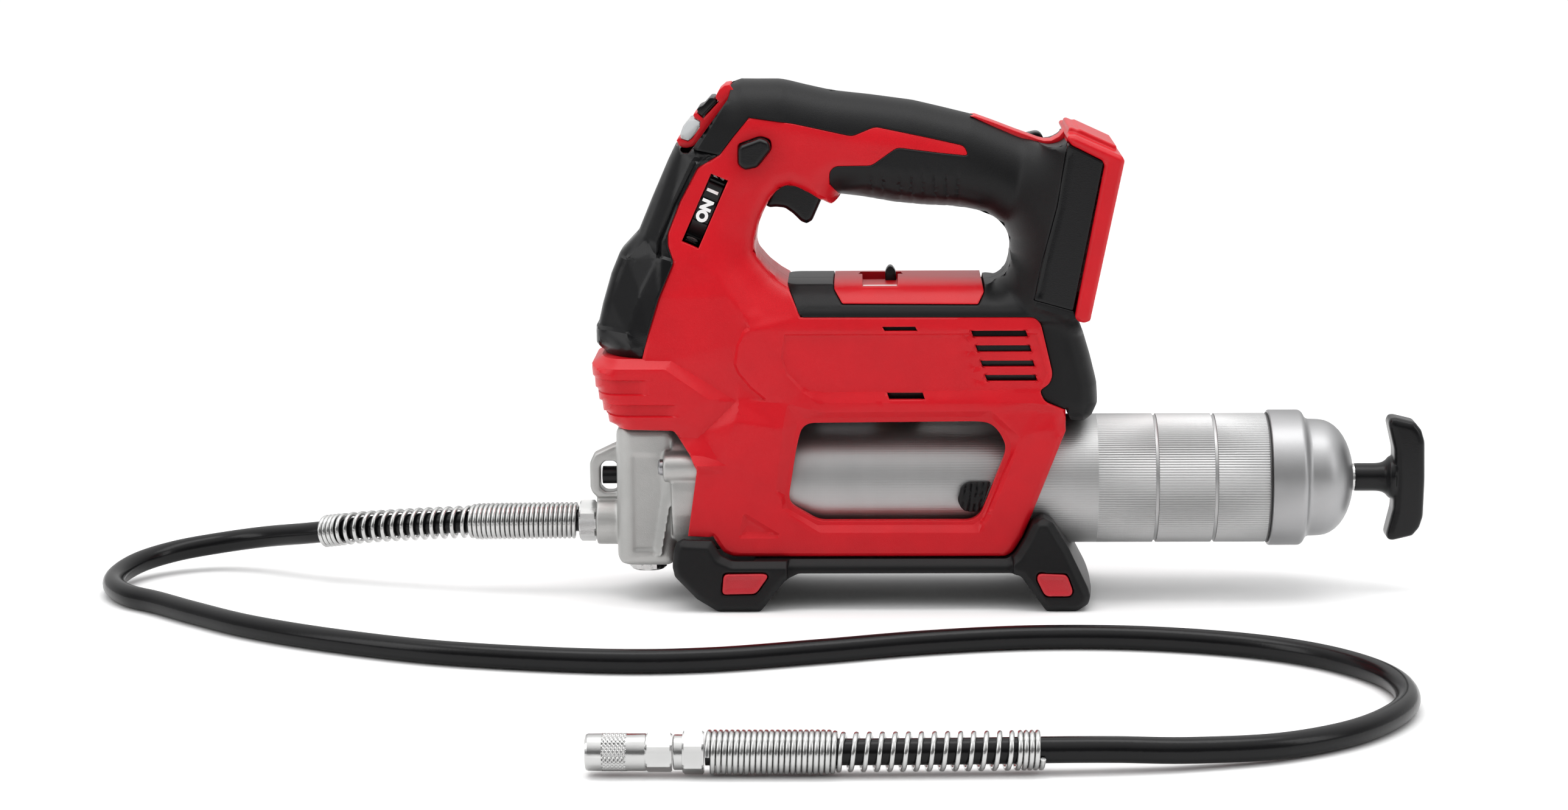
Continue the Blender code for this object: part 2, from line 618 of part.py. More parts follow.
def slope_frame():
    along = (SLOPE_HIGH - SLOPE_LOW).normalized()
    outward = Vector((-along.z, 0.0, along.x))
    return along, outward


def slope_box(share, size, bevel=0.0):
    """A box on the front slope, share of the way up; size is length, width, low and high above it."""
    length, width, low, high = size
    along, outward = slope_frame()
    centre = SLOPE_LOW.lerp(SLOPE_HIGH, share) + outward * (low + high) / 2
    turn = Matrix((along, Vector((0, 1, 0)), outward)).transposed().to_4x4()
    bm = bmesh.new()
    scale = Matrix.Diagonal((length * MM, width * MM, (high - low) * MM, 1.0))
    bmesh.ops.create_cube(bm, size=1.0, matrix=Matrix.Translation(centre * MM) @ turn @ scale)
    obj = object_from(bm, "slope_box")
    if bevel:
        soften(obj, bevel, 1)
    return obj


# ---------------------------------------------------------------- housing

def envelope(grow=0.0):
    """The red housing's outer form, as overlapping plates of different widths."""
    return [plate(grown(BODY, grow), BODY_HALF + grow, BODY_ROUND),
            plate(grown(SHOULDER, grow), SHOULDER_HALF + grow, SHOULDER_ROUND),
            plate(grown(NOSE, grow), NOSE_HALF + grow, NOSE_ROUND),
            plate(grown(CORE, grow), CORE_HALF + grow, CORE_ROUND)]


def half_space(side):
    """Everything on the other side of the seam."""
    if side < 0:
        return box((-FAR, -SEAM, -FAR), (FAR, FAR, FAR))
    return box((-FAR, -FAR, -FAR), (FAR, SEAM, FAR))


def vent_cutter(x, length, z, height, side):
    outline = [(x, z + height), (x + length - VENT_SLANT, z + height), (x + length, z),
               (x + VENT_SLANT, z)]
    low, high = (-FAR, -OPENING_END) if side < 0 else (OPENING_END, FAR)
    return prism([outline], low, high)


def dial_window():
    across, along = DIAL_WINDOW
    outline = []
    for a, b in ((-1, -1), (1, -1), (1, 1), (-1, 1)):
        p = DIAL_CENTRE + DIAL_AXIS * (a * across / 2) + DIAL_UP * (b * along / 2)
        outline.append((p.x, p.z))
    return prism([outline], -FAR, -OPENING_END)


def housing_hollows():
    bore = along_x(BORE_X[0], BORE_X[1], BORE_R, MOTOR_Z, sides=BORE_SIDES)
    barrel = along_x(BARREL_BAY_X, FAR, BARREL_BAY_R, sides=BAY_SIDES)
    cup = along_x(CUP_BAY_X, CUP_X[1] + CLEAR, CUP_BAY_R, sides=BAY_SIDES)
    nose = prism([NOSE_HOLLOW], -NOSE_HOLLOW_HALF, NOSE_HOLLOW_HALF)
    core = prism([CORE_HOLLOW], -CORE_HOLLOW_HALF, CORE_HOLLOW_HALF)
    passage = box((PLUNGER_X - PASSAGE_HALF, -PASSAGE_HALF, PASSAGE_Z[0]),
                  (PLUNGER_X + PASSAGE_HALF, PASSAGE_HALF, PASSAGE_Z[1]))
    trigger = prism([TRIGGER_POCKET], -TRIGGER_HALF - CLEAR, TRIGGER_HALF + CLEAR)
    lock = prism([grown(LOCK_BUTTON, LOCK_CLEAR)], -FAR, FAR)
    towers = [along_x(TOWER_X[0] - OVERRUN, TOWER_X[1] + CLEAR, TOWER_R + CLEAR, TOWER_Z, y)
              for y in (-TOWER_Y, TOWER_Y)]
    windows = [prism([WINDOW], -FAR, -WINDOW_END), prism([WINDOW], WINDOW_END, FAR)]
    return [bore, barrel, cup, nose, core, passage, trigger, lock, *towers, *windows]


def make_housing(side, hollows):
    name = "left_housing" if side < 0 else "right_housing"
    body, shoulder, nose, core = envelope()
    join(shown(body), shoulder, nose, core)
    cut(body, *hollows)
    for vent in VENTS + SMALL_VENTS:
        cut(body, vent_cutter(*vent, side))
    if side < 0:
        cut(body, dial_window())
    cut(body, half_space(side))
    return as_part(body, name, "red_nylon")


def make_overmould(side, cutters):
    name = "left_overmould" if side < 0 else "right_overmould"
    handle = shown(plate(HANDLE, HANDLE_HALF, HANDLE_ROUND))
    join(handle, plate(FLARE, FLARE_HALF, FLARE_ROUND), plate(BAND, BAND_HALF, BAND_ROUND),
         plate(BULGE, BULGE_HALF, BULGE_ROUND))
    cut(handle, *cutters, half_space(side))
    return as_part(handle, name, "black_rubber")


def make_shells():
    hollows = housing_hollows()
    make_housing(-1, hollows)
    make_housing(1, hollows)
    skin = envelope(GAP)
    cover = plate(grown(COVER, GAP), COVER_HALF + GAP, COVER_ROUND)
    tray = box(*WIRING_TRAY)
    rails = plate(grown(RAIL_FRAME, GAP), RAIL_CLEAR_HALF)
    wires = prism([CORE_HOLLOW], -CORE_HOLLOW_HALF, CORE_HOLLOW_HALF)
    motor = along_x(BORE_X[0], BORE_X[1], BORE_R, MOTOR_Z, sides=BORE_SIDES)
    cutters = skin + [cover, tray, rails, wires, motor]
    make_overmould(-1, cutters)
    make_overmould(1, cutters)
    guard = shown(plate(GUARD, GUARD_HALF, GUARD_ROUND))
    cut(guard, *skin)
    as_part(guard, "nose_guard", "black_nylon")


def make_light():
    panel = shown(slope_box(0.5, (PANEL_LENGTH, 2 * PANEL_HALF, -PANEL_THICK, 0.0), SLOPE_ROUND))
    cut(panel, slope_box(BUTTON_SHARE, BUTTON_HOLE), slope_box(LENS_SHARE, LENS_HOLE))
    as_part(panel, "light_panel", "red_nylon")
    button = shown(slope_box(BUTTON_SHARE, BUTTON, SLOPE_ROUND))
    as_part(button, "light_button", "black_nylon")
    lens = shown(slope_box(LENS_SHARE, LENS, SLOPE_ROUND))
    as_part(lens, "light_lens", "clear_lens")


def make_selector():
    cover = shown(plate(COVER, COVER_HALF, COVER_ROUND))
    cut(cover, box(*SELECTOR_SLOT), box(*SELECTOR_TRACK))
    as_part(cover, "selector_cover", "red_nylon")
    slider = shown(box(*SELECTOR_PLATE))
    join(slider, soften(box(*SELECTOR_TAB), TAB_ROUND, 1))
    as_part(slider, "speed_selector", "black_nylon")


def make_battery_mount():
    frame = shown(plate(RAIL_FRAME, RAIL_HALF, RAIL_ROUND, 1))
    half = TERMINAL_HALF + GAP
    cut(frame, prism([BATTERY_BAY], -BATTERY_BAY_HALF, BATTERY_BAY_HALF),
        prism([RAIL_GROOVE], -RAIL_GROOVE_HALF, RAIL_GROOVE_HALF),
        prism([grown(TERMINAL_BLOCK, GAP)], -half, half))
    as_part(frame, "battery_rails", "red_nylon")
    block = shown(prism([TERMINAL_BLOCK], -TERMINAL_HALF, TERMINAL_HALF))
    for y in BLADE_Y:
        cut(block, prism([BLADE_SLOT], y - BLADE_SLOT_HALF, y + BLADE_SLOT_HALF))
    as_part(block, "terminal_block", "black_nylon")
    for i, y in enumerate(BLADE_Y):
        blade = shown(prism([BLADE], y - BLADE_HALF, y + BLADE_HALF))
        as_part(blade, "terminal_blade_%d" % (i + 1), "brass")


# ---------------------------------------------------------------- controls

def make_trigger():
    trigger = shown(plate(TRIGGER, TRIGGER_HALF, TRIGGER_ROUND, 1))
    as_part(trigger, "trigger", "black_nylon")
    switch = shown(box(*SWITCH_BODY))
    join(switch, along_x(*SWITCH_PIN))
    as_part(switch, "trigger_switch", "black_nylon")
    lock = shown(plate(LOCK_BUTTON, LOCK_HALF, LOCK_ROUND, 1))
    as_part(lock, "lock_off_button", "black_nylon")


def make_dial():
    half = DIAL_AXIS * (DIAL_WIDTH / 2)
    wheel = shown(cylinder(DIAL_CENTRE - half, DIAL_CENTRE + half, DIAL_R, BAY_SIDES))
    radius, length = DIAL_AXLE
    reach = DIAL_AXIS * length / 2
    cut(wheel, cylinder(DIAL_CENTRE - reach, DIAL_CENTRE + reach, radius + GAP))
    as_part(wheel, "metering_dial", "black_nylon")
    axle = shown(cylinder(DIAL_CENTRE - reach, DIAL_CENTRE + reach, radius))
    as_part(axle, "dial_axle", "zinc_steel")
    board = shown(box(*CONTROL_BOARD))
    as_part(board, "control_board", "green_board")


# ---------------------------------------------------------------- base

def make_base(skin):
    skid = shown(plate(SKID, FOOT_HALF, SKID_ROUND, 1))
    cut(skid, along_x(-FAR, FAR, BARREL_BAY_R - GAP / 3, sides=BAY_SIDES), *skin)
    cut(skid, box(*SKID_BAY), prism([SKID_CHANNEL], -FAR, FAR, "X"))
    cut(skid, prism([SKID_WAIST], WAIST_HALF, FAR), prism([SKID_WAIST], -FAR, -WAIST_HALF))
    for where, outline in INSERTS.items():
        for side, name in ((-1, "left"), (1, "right")):
            ends = sorted((side * (FOOT_HALF - INSERT_DEPTH), side * (FOOT_HALF - INSERT_SUNK)))
            insert = shown(prism([outline], *ends))
            pocket = sorted((side * (FOOT_HALF - INSERT_DEPTH - GAP), side * FAR))
            cut(skid, prism([grown(outline, GAP)], *pocket))
            as_part(insert, "%s_%s_foot_insert" % (name, where), "red_nylon")
    as_part(skid, "base_skid", "black_nylon")


# ---------------------------------------------------------------- pump head

def make_head():
    head = shown(plate(HEAD, HEAD_HALF, HEAD_ROUND, 3))
    towers = [along_x(TOWER_X[0], TOWER_X[1], TOWER_R, TOWER_Z, y) for y in (-TOWER_Y, TOWER_Y)]
    join(head, plate(LUG, LUG_HALF, LUG_ROUND, 1), along_x(CUP_X[0], CUP_X[1], CUP_R, sides=BAY_SIDES),
         along_x(OUTLET_X, OUTLET_ROOT_X, OUTLET_R, OUTLET_Z), *towers)
    shank_holes = [along_x(TOWER_X[0] - OVERRUN, TOWER_X[0] + SHANK_HOLE, SCREW_SHANK_R + GAP, TOWER_Z, y,
                           SHANK_SIDES) for y in (-TOWER_Y, TOWER_Y)]
    cut(head, prism([LUG_SLOT], -FAR, FAR),
        along_x(CUP_FLOOR_X, CUP_X[1] + OVERRUN, CUP_BORE_R, sides=BAY_SIDES),
        cylinder((PLUNGER_X, 0, -OVERRUN), (PLUNGER_X, 0, FAR), PUMP_BORE_R),
        cylinder((PLUNGER_X, 0, -OVERRUN), (PLUNGER_X, 0, PLUG_TOP_Z + GAP), PLUG_BORE_R),
        along_x(OUTLET_X - OVERRUN, PLUNGER_X, OUTLET_BORE_R, OUTLET_Z, sides=SHANK_SIDES),
        along_x(PLUNGER_X, CUP_FLOOR_X + OVERRUN, INLET_R, sides=SHANK_SIDES),
        along_x(BLEED_X[0] - BLEED_AHEAD, BLEED_X[1] + BLEED_REST, BLEED_R + GAP, BLEED_Z,
                sides=STEM_SIDES),
        *shank_holes)
    as_part(head, "pump_head", "cast_alloy")


def make_head_fittings():
    plug = shown(prism([polygon((PLUNGER_X, 0), PLUG_HEX_R, 6)], *PLUG_HEX_Z, "Z"))
    join(plug, cylinder((PLUNGER_X, 0, PLUG_SHANK_Z), (PLUNGER_X, 0, PLUG_TOP_Z), PLUG_BORE_R - GAP))
    as_part(plug, "head_plug", "zinc_steel")
    for side, name in ((-1, "left"), (1, "right")):
        y = side * TOWER_Y
        screw = shown(along_x(TOWER_X[0] - SCREW_HEAD, TOWER_X[0] - GAP, SCREW_HEAD_R, TOWER_Z, y))
        join(screw, along_x(TOWER_X[0] - OVERLAP, TOWER_X[0] + SCREW_SHANK, SCREW_SHANK_R, TOWER_Z, y,
                            SHANK_SIDES))
        as_part(screw, "%s_head_screw" % name, "zinc_steel")
    bleed = shown(along_x(BLEED_X[0], BLEED_X[1], BLEED_R, BLEED_Z, sides=STEM_SIDES))
    as_part(bleed, "bleed_valve", "black_nylon")


def make_pump():
    low, high = PLUNGER_Z
    plunger = shown(cylinder((PLUNGER_X, 0, low), (PLUNGER_X, 0, high), PLUNGER_R, STEM_SIDES))
    as_part(plunger, "pump_plunger", "gear_steel")
    bm = bmesh.new()
    centre = Matrix.Translation((PLUNGER_X * MM, 0, (PLUG_TOP_Z + GAP + BALL_R) * MM))
    bmesh.ops.create_uvsphere(bm, u_segments=12, v_segments=8, radius=BALL_R * MM, matrix=centre)
    as_part(shown(object_from(bm, "ball")), "check_valve_ball", "gear_steel")


# ---------------------------------------------------------------- barrel

def make_barrel():
    low, high = BARREL_X
    inner = BARREL_R - BARREL_WALL
    wide, narrow, deep = GROOVE
    profile = [(low, inner), (low, BARREL_R)]
    for x in KNURL_GROOVES:
        profile += [(x - wide, BARREL_R), (x - narrow, BARREL_R - deep), (x + narrow, BARREL_R - deep),
                    (x + wide, BARREL_R)]
    profile += [(high, BARREL_R), (high, inner)]
    as_part(turned(profile, closed=True, steps=BAY_SIDES), "barrel_tube", "aluminium")
    throat_in, throat_out = CAP_THROAT
    inside = [(throat_out, CAP_BORE_R), (throat_in, CAP_BORE_R)]
    inside += [(x - CAP_WALL, max(r - CAP_WALL, CAP_BORE_R)) for x, r in reversed(CAP_PROFILE[CAP_INNER])]
    inside += [CAP_MOUTH]
    as_part(turned(CAP_PROFILE + inside, closed=True, steps=CAP_STEPS), "barrel_cap", "cast_alloy")
    pad = shown(prism([PAD], *PAD_Y))
    cut(pad, along_x(*PAD_SEAT_X, BARREL_R + PAD_SEAT_GAP, sides=SEAT_SIDES), box(*PAD_TRIM))
    as_part(pad, "barrel_pad", "black_rubber")


def make_follower():
    rod = shown(along_x(ROD_X[0], ROD_X[1], ROD_R))
    as_part(rod, "follower_rod", "zinc_steel")
    bar = shown(plate(T_BAR, T_HALF, T_ROUND, 2))
    cut(bar, along_x(*SOCKET_X, ROD_R + GAP))
    as_part(bar, "t_handle", "black_nylon")
    as_part(turned(PISTON_CUP, steps=PISTON_STEPS), "follower_piston", "black_rubber")
    low, high = SPRING_X
    count = SPRING_TURNS * SPRING_STEPS
    points = []
    for i in range(count + 1):
        angle = 2 * math.pi * i / SPRING_STEPS
        points.append((low + (high - low) * i / count, SPRING_R * math.cos(angle),
                       BARREL_Z + SPRING_R * math.sin(angle)))
    as_part(shown(tube(points, SPRING_WIRE_R, 2)), "follower_spring", "zinc_steel")


# ---------------------------------------------------------------- drive train

def make_motor():
    x0, x1, outer, inner = CAN
    as_part(ring(x0, x1, outer, inner, MOTOR_Z, BORE_SIDES), "motor_can", "zinc_steel")
    x0, x1, outer, inner = END_CAP
    as_part(ring(x0, x1, outer, inner, MOTOR_Z, BORE_SIDES), "motor_end_cap", "black_nylon")
    profile = [(ARMATURE[0][0], 0.0)] + ARMATURE + [(ARMATURE[-1][0], 0.0)]
    as_part(turned(profile, MOTOR_Z, steps=PISTON_STEPS), "armature", "copper")


def make_fan():
    x0, x1, outer, blade_end = FAN
    fan = shown(along_x(x0, x1, outer, MOTOR_Z))
    for i in range(FAN_BLADES):
        angle = 2 * math.pi * i / FAN_BLADES
        blade = box((x0 + OVERLAP, -FAN_BLADE_HALF, BLADE_ROOT_R),
                    (blade_end, FAN_BLADE_HALF, outer - BLADE_TIP_GAP))
        blade.matrix_world = Matrix.Translation((0, 0, MOTOR_Z * MM)) @ Matrix.Rotation(angle, 4, "X")
        join(fan, blade)
    cut(fan, along_x(x0 - OVERRUN, x1 + OVERRUN, ARMATURE[0][1] + GAP, MOTOR_Z))
    as_part(fan, "cooling_fan", "black_nylon")


def make_gearbox():
    hole = polygon((0, MOTOR_Z), ARMATURE[0][1] + GAP, SHANK_SIDES)
    sun = shown(prism([lifted(gear_outline(SUN_TEETH), MOTOR_Z), hole], *SUN_X, "X"))
    as_part(sun, "sun_gear", "gear_steel")
    orbit = GEAR_MODULE * (SUN_TEETH + PLANET_TEETH) / 2
    centres = []
    for i, degrees in enumerate(PLANET_ANGLES):
        angle = math.radians(degrees)
        centre = (orbit * math.cos(angle), MOTOR_Z + orbit * math.sin(angle))
        centres.append(centre)
        turn = math.radians(degrees + PLANET_TURN + degrees * SUN_TEETH / PLANET_TEETH)
        teeth = [(u + centre[0], v + centre[1]) for u, v in gear_outline(PLANET_TEETH, turn)]
        planet = shown(prism([teeth, polygon(centre, CARRIER_PIN_R + GAP, PIN_SIDES)], *PLANET_X, "X"))
        as_part(planet, "planet_gear_%d" % (i + 1), "gear_steel")
    rim = polygon((0, MOTOR_Z), RING_OUTER_R, RIM_SIDES)
    ring_gear = shown(prism([rim, lifted(gear_outline(RING_TEETH, inward=True), MOTOR_Z)], *RING_X, "X"))
    as_part(ring_gear, "ring_gear", "gear_steel")
    carrier = shown(along_x(CARRIER_X[0], CARRIER_X[1], CARRIER_R, MOTOR_Z))
    pins = [along_x(CARRIER_X[0] + 1, PLANET_X[1], CARRIER_PIN_R, z, y, PIN_SIDES) for y, z in centres]
    join(carrier, along_x(OUTPUT_X[0], OUTPUT_X[1], OUTPUT_R, MOTOR_Z), *pins)
    as_part(carrier, "planet_carrier", "gear_steel")
    bearing = ring(BEARING_X[0], BEARING_X[1], RING_OUTER_R, OUTPUT_R + GAP, MOTOR_Z, BORE_SIDES)
    as_part(bearing, "output_bearing", "gear_steel")


def make_crank():
    crank = shown(along_x(CRANK_X[0], CRANK_X[1], CRANK_R, MOTOR_Z))
    join(crank, along_x(CRANK_PIN_END, CRANK_X[1] - OVERLAP, CRANK_PIN_R, MOTOR_Z, CRANK_THROW,
                        SHANK_SIDES))
    cut(crank, along_x(CRANK_PIN_END - OVERRUN, CRANK_X[1] + OVERRUN, OUTPUT_R + GAP, MOTOR_Z))
    as_part(crank, "crank_disc", "gear_steel")
    low, high = (YOKE_X[0], -YOKE_HALF, YOKE_Z[0]), (YOKE_X[1], YOKE_HALF, YOKE_Z[1])
    yoke = shown(soften(box(low, high), YOKE_ROUND, 1))
    slot_half = CRANK_PIN_R + GAP
    reach = CRANK_THROW + slot_half
    cut(yoke, box((YOKE_X[1] - YOKE_SLOT, -reach, MOTOR_Z - slot_half),
                  (YOKE_X[1] + OVERRUN, reach, MOTOR_Z + slot_half)))
    as_part(yoke, "scotch_yoke", "gear_steel")


# ---------------------------------------------------------------- hose

def sleeve(points):
    """A coil spring's outer form: a thick sleeve that leaves the hose free inside it."""
    outer = shown(tube(points, SLEEVE_R, 3))
    first = Vector(points[0]) + (Vector(points[0]) - Vector(points[1])).normalized() * OVERRUN
    last = Vector(points[-1]) + (Vector(points[-1]) - Vector(points[-2])).normalized() * OVERRUN
    return cut(outer, tube([first] + list(points) + [last], HOSE_R + SLEEVE_GAP, 3))


def make_hose():
    path = smooth_route(HOSE_ROUTE, HOSE_STEP)
    as_part(shown(tube(path, HOSE_R, 2)), "hose", "hose_rubber")
    count = round(GUN_SPRING_LENGTH / HOSE_STEP)
    as_part(sleeve(path[:count + 1]), "hose_spring_gun", "zinc_steel")
    count = round(END_SPRING_LENGTH / HOSE_STEP)
    as_part(sleeve(path[-count - 1:]), "hose_spring_end", "zinc_steel")
    nut = shown(prism([polygon((0, OUTLET_Z), NUT_R, 6, math.pi / 2)], *NUT_X, "X"))
    as_part(nut, "hose_nut", "zinc_steel")


def make_coupler():
    radius, low, high = ADAPTER_HEX
    adapter = shown(prism([polygon((END_Y, END_Z), radius, 6, math.pi / 6)], low, high, "X"))
    join(adapter, along_x(*ADAPTER_NECK, END_Z, END_Y))
    as_part(adapter, "hose_adapter", "zinc_steel")
    coupler = shown(along_x(*COUPLER_JAW, END_Z, END_Y))
    radius, low, high = COUPLER_HEX
    join(coupler, prism([polygon((END_Y, END_Z), radius, 6, math.pi / 6)], low, high, "X"))
    cut(coupler, along_x(*COUPLER_BORE, END_Z, END_Y))
    as_part(coupler, "grease_coupler", "zinc_steel")


clear_scene()
PARTS = new_collection("grease_gun")
CUTTERS = new_collection("cutters")
make_shells()
make_light()
make_selector()
make_battery_mount()
make_trigger()
make_dial()
make_base(envelope(GAP))
make_head()
make_head_fittings()
make_pump()
make_barrel()
make_follower()
make_motor()
make_fan()
make_gearbox()
make_crank()
make_hose()
make_coupler()
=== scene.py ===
"""Looks of the cordless grease gun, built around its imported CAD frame.

Shapes are worked out in millimetres in the frame's own axes: +X to the T-handle, +Z up, and the
side that the camera sees is -Y. MM turns them into Blender's metres when a mesh is made.
"""
import math

import bmesh
import bpy
import numpy as np
from mathutils import Matrix, Vector
from mathutils.geometry import delaunay_2d_cdt


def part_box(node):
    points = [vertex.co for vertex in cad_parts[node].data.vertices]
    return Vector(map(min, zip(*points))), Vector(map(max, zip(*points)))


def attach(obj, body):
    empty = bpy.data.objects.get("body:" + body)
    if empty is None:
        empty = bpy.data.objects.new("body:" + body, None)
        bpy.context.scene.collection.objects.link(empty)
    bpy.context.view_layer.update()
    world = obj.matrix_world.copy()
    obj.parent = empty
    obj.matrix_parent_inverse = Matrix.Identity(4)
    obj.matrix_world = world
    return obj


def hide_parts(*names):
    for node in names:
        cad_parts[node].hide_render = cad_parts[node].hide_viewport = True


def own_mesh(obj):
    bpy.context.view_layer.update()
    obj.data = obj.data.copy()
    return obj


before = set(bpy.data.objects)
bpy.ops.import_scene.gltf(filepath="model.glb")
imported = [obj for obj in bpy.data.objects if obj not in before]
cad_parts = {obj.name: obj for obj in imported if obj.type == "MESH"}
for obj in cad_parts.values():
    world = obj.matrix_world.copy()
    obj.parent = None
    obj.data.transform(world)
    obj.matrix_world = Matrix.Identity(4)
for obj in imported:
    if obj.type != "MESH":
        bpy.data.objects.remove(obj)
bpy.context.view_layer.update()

MM = 0.001
SIDES = ((-1, "left"), (1, "right"))
BARREL_Z = 51.6         # the barrel's axis runs along X at this height

# ---------------------------------------------------------------- camera, light and floor

CAMERA_PLACE = (-0.05558, -1.52497, 0.35264)
CAMERA_YAW = math.radians(-1.604)
CAMERA_PITCH = math.radians(9.958)
CAMERA_ROLL = math.radians(-0.45)
CAMERA_LENS = 80.09
SENSOR = 36.0


def make_camera():
    data = bpy.data.cameras.new("camera")
    data.lens = CAMERA_LENS
    data.sensor_width = SENSOR
    data.sensor_fit = "HORIZONTAL"
    camera = bpy.data.objects.new("camera", data)
    bpy.context.scene.collection.objects.link(camera)
    forward = Vector((math.sin(CAMERA_YAW) * math.cos(CAMERA_PITCH),
                      math.cos(CAMERA_YAW) * math.cos(CAMERA_PITCH), -math.sin(CAMERA_PITCH)))
    right = Vector((math.cos(CAMERA_YAW), -math.sin(CAMERA_YAW), 0.0))
    up = right.cross(forward)
    rolled_right = right * math.cos(CAMERA_ROLL) + up * math.sin(CAMERA_ROLL)
    rolled_up = up * math.cos(CAMERA_ROLL) - right * math.sin(CAMERA_ROLL)
    turn = Matrix((rolled_right, rolled_up, -forward)).transposed().to_4x4()
    camera.matrix_world = Matrix.Translation(CAMERA_PLACE) @ turn
    bpy.context.scene.camera = camera


def area_light(name, place, target, size, power):
    data = bpy.data.lights.new(name, "AREA")
    data.shape = "RECTANGLE"
    data.size, data.size_y = size
    data.energy = power
    light = bpy.data.objects.new(name, data)
    bpy.context.scene.collection.objects.link(light)
    away = Vector(place) - Vector(target)
    light.matrix_world = Matrix.Translation(place) @ away.to_track_quat("Z", "Y").to_matrix().to_4x4()


def add_node(tree, kind, constants=None, **settings):
    """A new shader node: settings go on the node itself and constants on its input sockets."""
    node = tree.nodes.new(kind)
    for name, value in settings.items():
        setattr(node, name, value)
    for socket, value in (constants or {}).items():
        node.inputs[socket].default_value = value
    return node


TENT_DARK = 0.16        # behind the camera
TENT_GREY = 0.70        # behind the tool
TENT_BRIGHT = 1.6       # overhead
# Each light's name, place, target, size and watts
LIGHTS = [("key_light", (-1.5, -0.8, 0.9), (0.0, 0.0, 0.12), (0.6, 1.2), 6.0),
          ("top_light", (0.0, -0.12, 1.4), (0.0, -0.12, 0.0), (1.7, 0.55), 8.0),
          ("side_light", (1.5, -0.7, 0.8), (0.0, 0.0, 0.12), (0.4, 1.0), 3.5)]
FLOOR_SIZE = 14.0


def make_studio():
    """A light tent: bright overhead, grey behind the tool and dark behind the camera."""
    world = bpy.data.worlds.new("studio")
    world.use_nodes = True
    tree = world.node_tree
    place = add_node(tree, "ShaderNodeTexCoord")
    split = add_node(tree, "ShaderNodeSeparateXYZ")
    around = add_node(tree, "ShaderNodeMapRange",
                      {"From Min": -0.8, "From Max": 0.6, "To Min": TENT_DARK, "To Max": TENT_GREY})
    rise = add_node(tree, "ShaderNodeMapRange", {"From Min": 0.35, "From Max": 0.92})
    mix = add_node(tree, "ShaderNodeMix", {"B": TENT_BRIGHT})
    tree.links.new(place.outputs["Generated"], split.inputs["Vector"])
    tree.links.new(split.outputs["Y"], around.inputs["Value"])
    tree.links.new(split.outputs["Z"], rise.inputs["Value"])
    tree.links.new(rise.outputs["Result"], mix.inputs["Factor"])
    tree.links.new(around.outputs["Result"], mix.inputs["A"])
    tree.links.new(mix.outputs["Result"], tree.nodes["Background"].inputs["Color"])
    bpy.context.scene.world = world
    bpy.context.scene.view_settings.view_transform = "Standard"
    for light in LIGHTS:
        area_light(*light)


def make_floor():
    bpy.ops.mesh.primitive_plane_add(size=FLOOR_SIZE, location=(0.0, 0.0, 0.0))
    floor = bpy.context.object
    floor.name = "studio_floor"
    paper = finish("floor_paper", (0.93, 0.93, 0.93), 0.9, grain=(900.0, 0.01), mottle=0.004)
    floor.data.materials.append(paper)


# ---------------------------------------------------------------- materials

MOTTLE_SCALE = 60.0
ROUGHNESS_SPREAD = 0.08
GRAIN_DEPTH = 0.0004


def tinted(colour, scale, lift=0.0):
    """A colour made lighter or darker, with the alpha that a socket wants."""
    return (*[min(c * scale + lift, 1.0) for c in colour], 1.0)


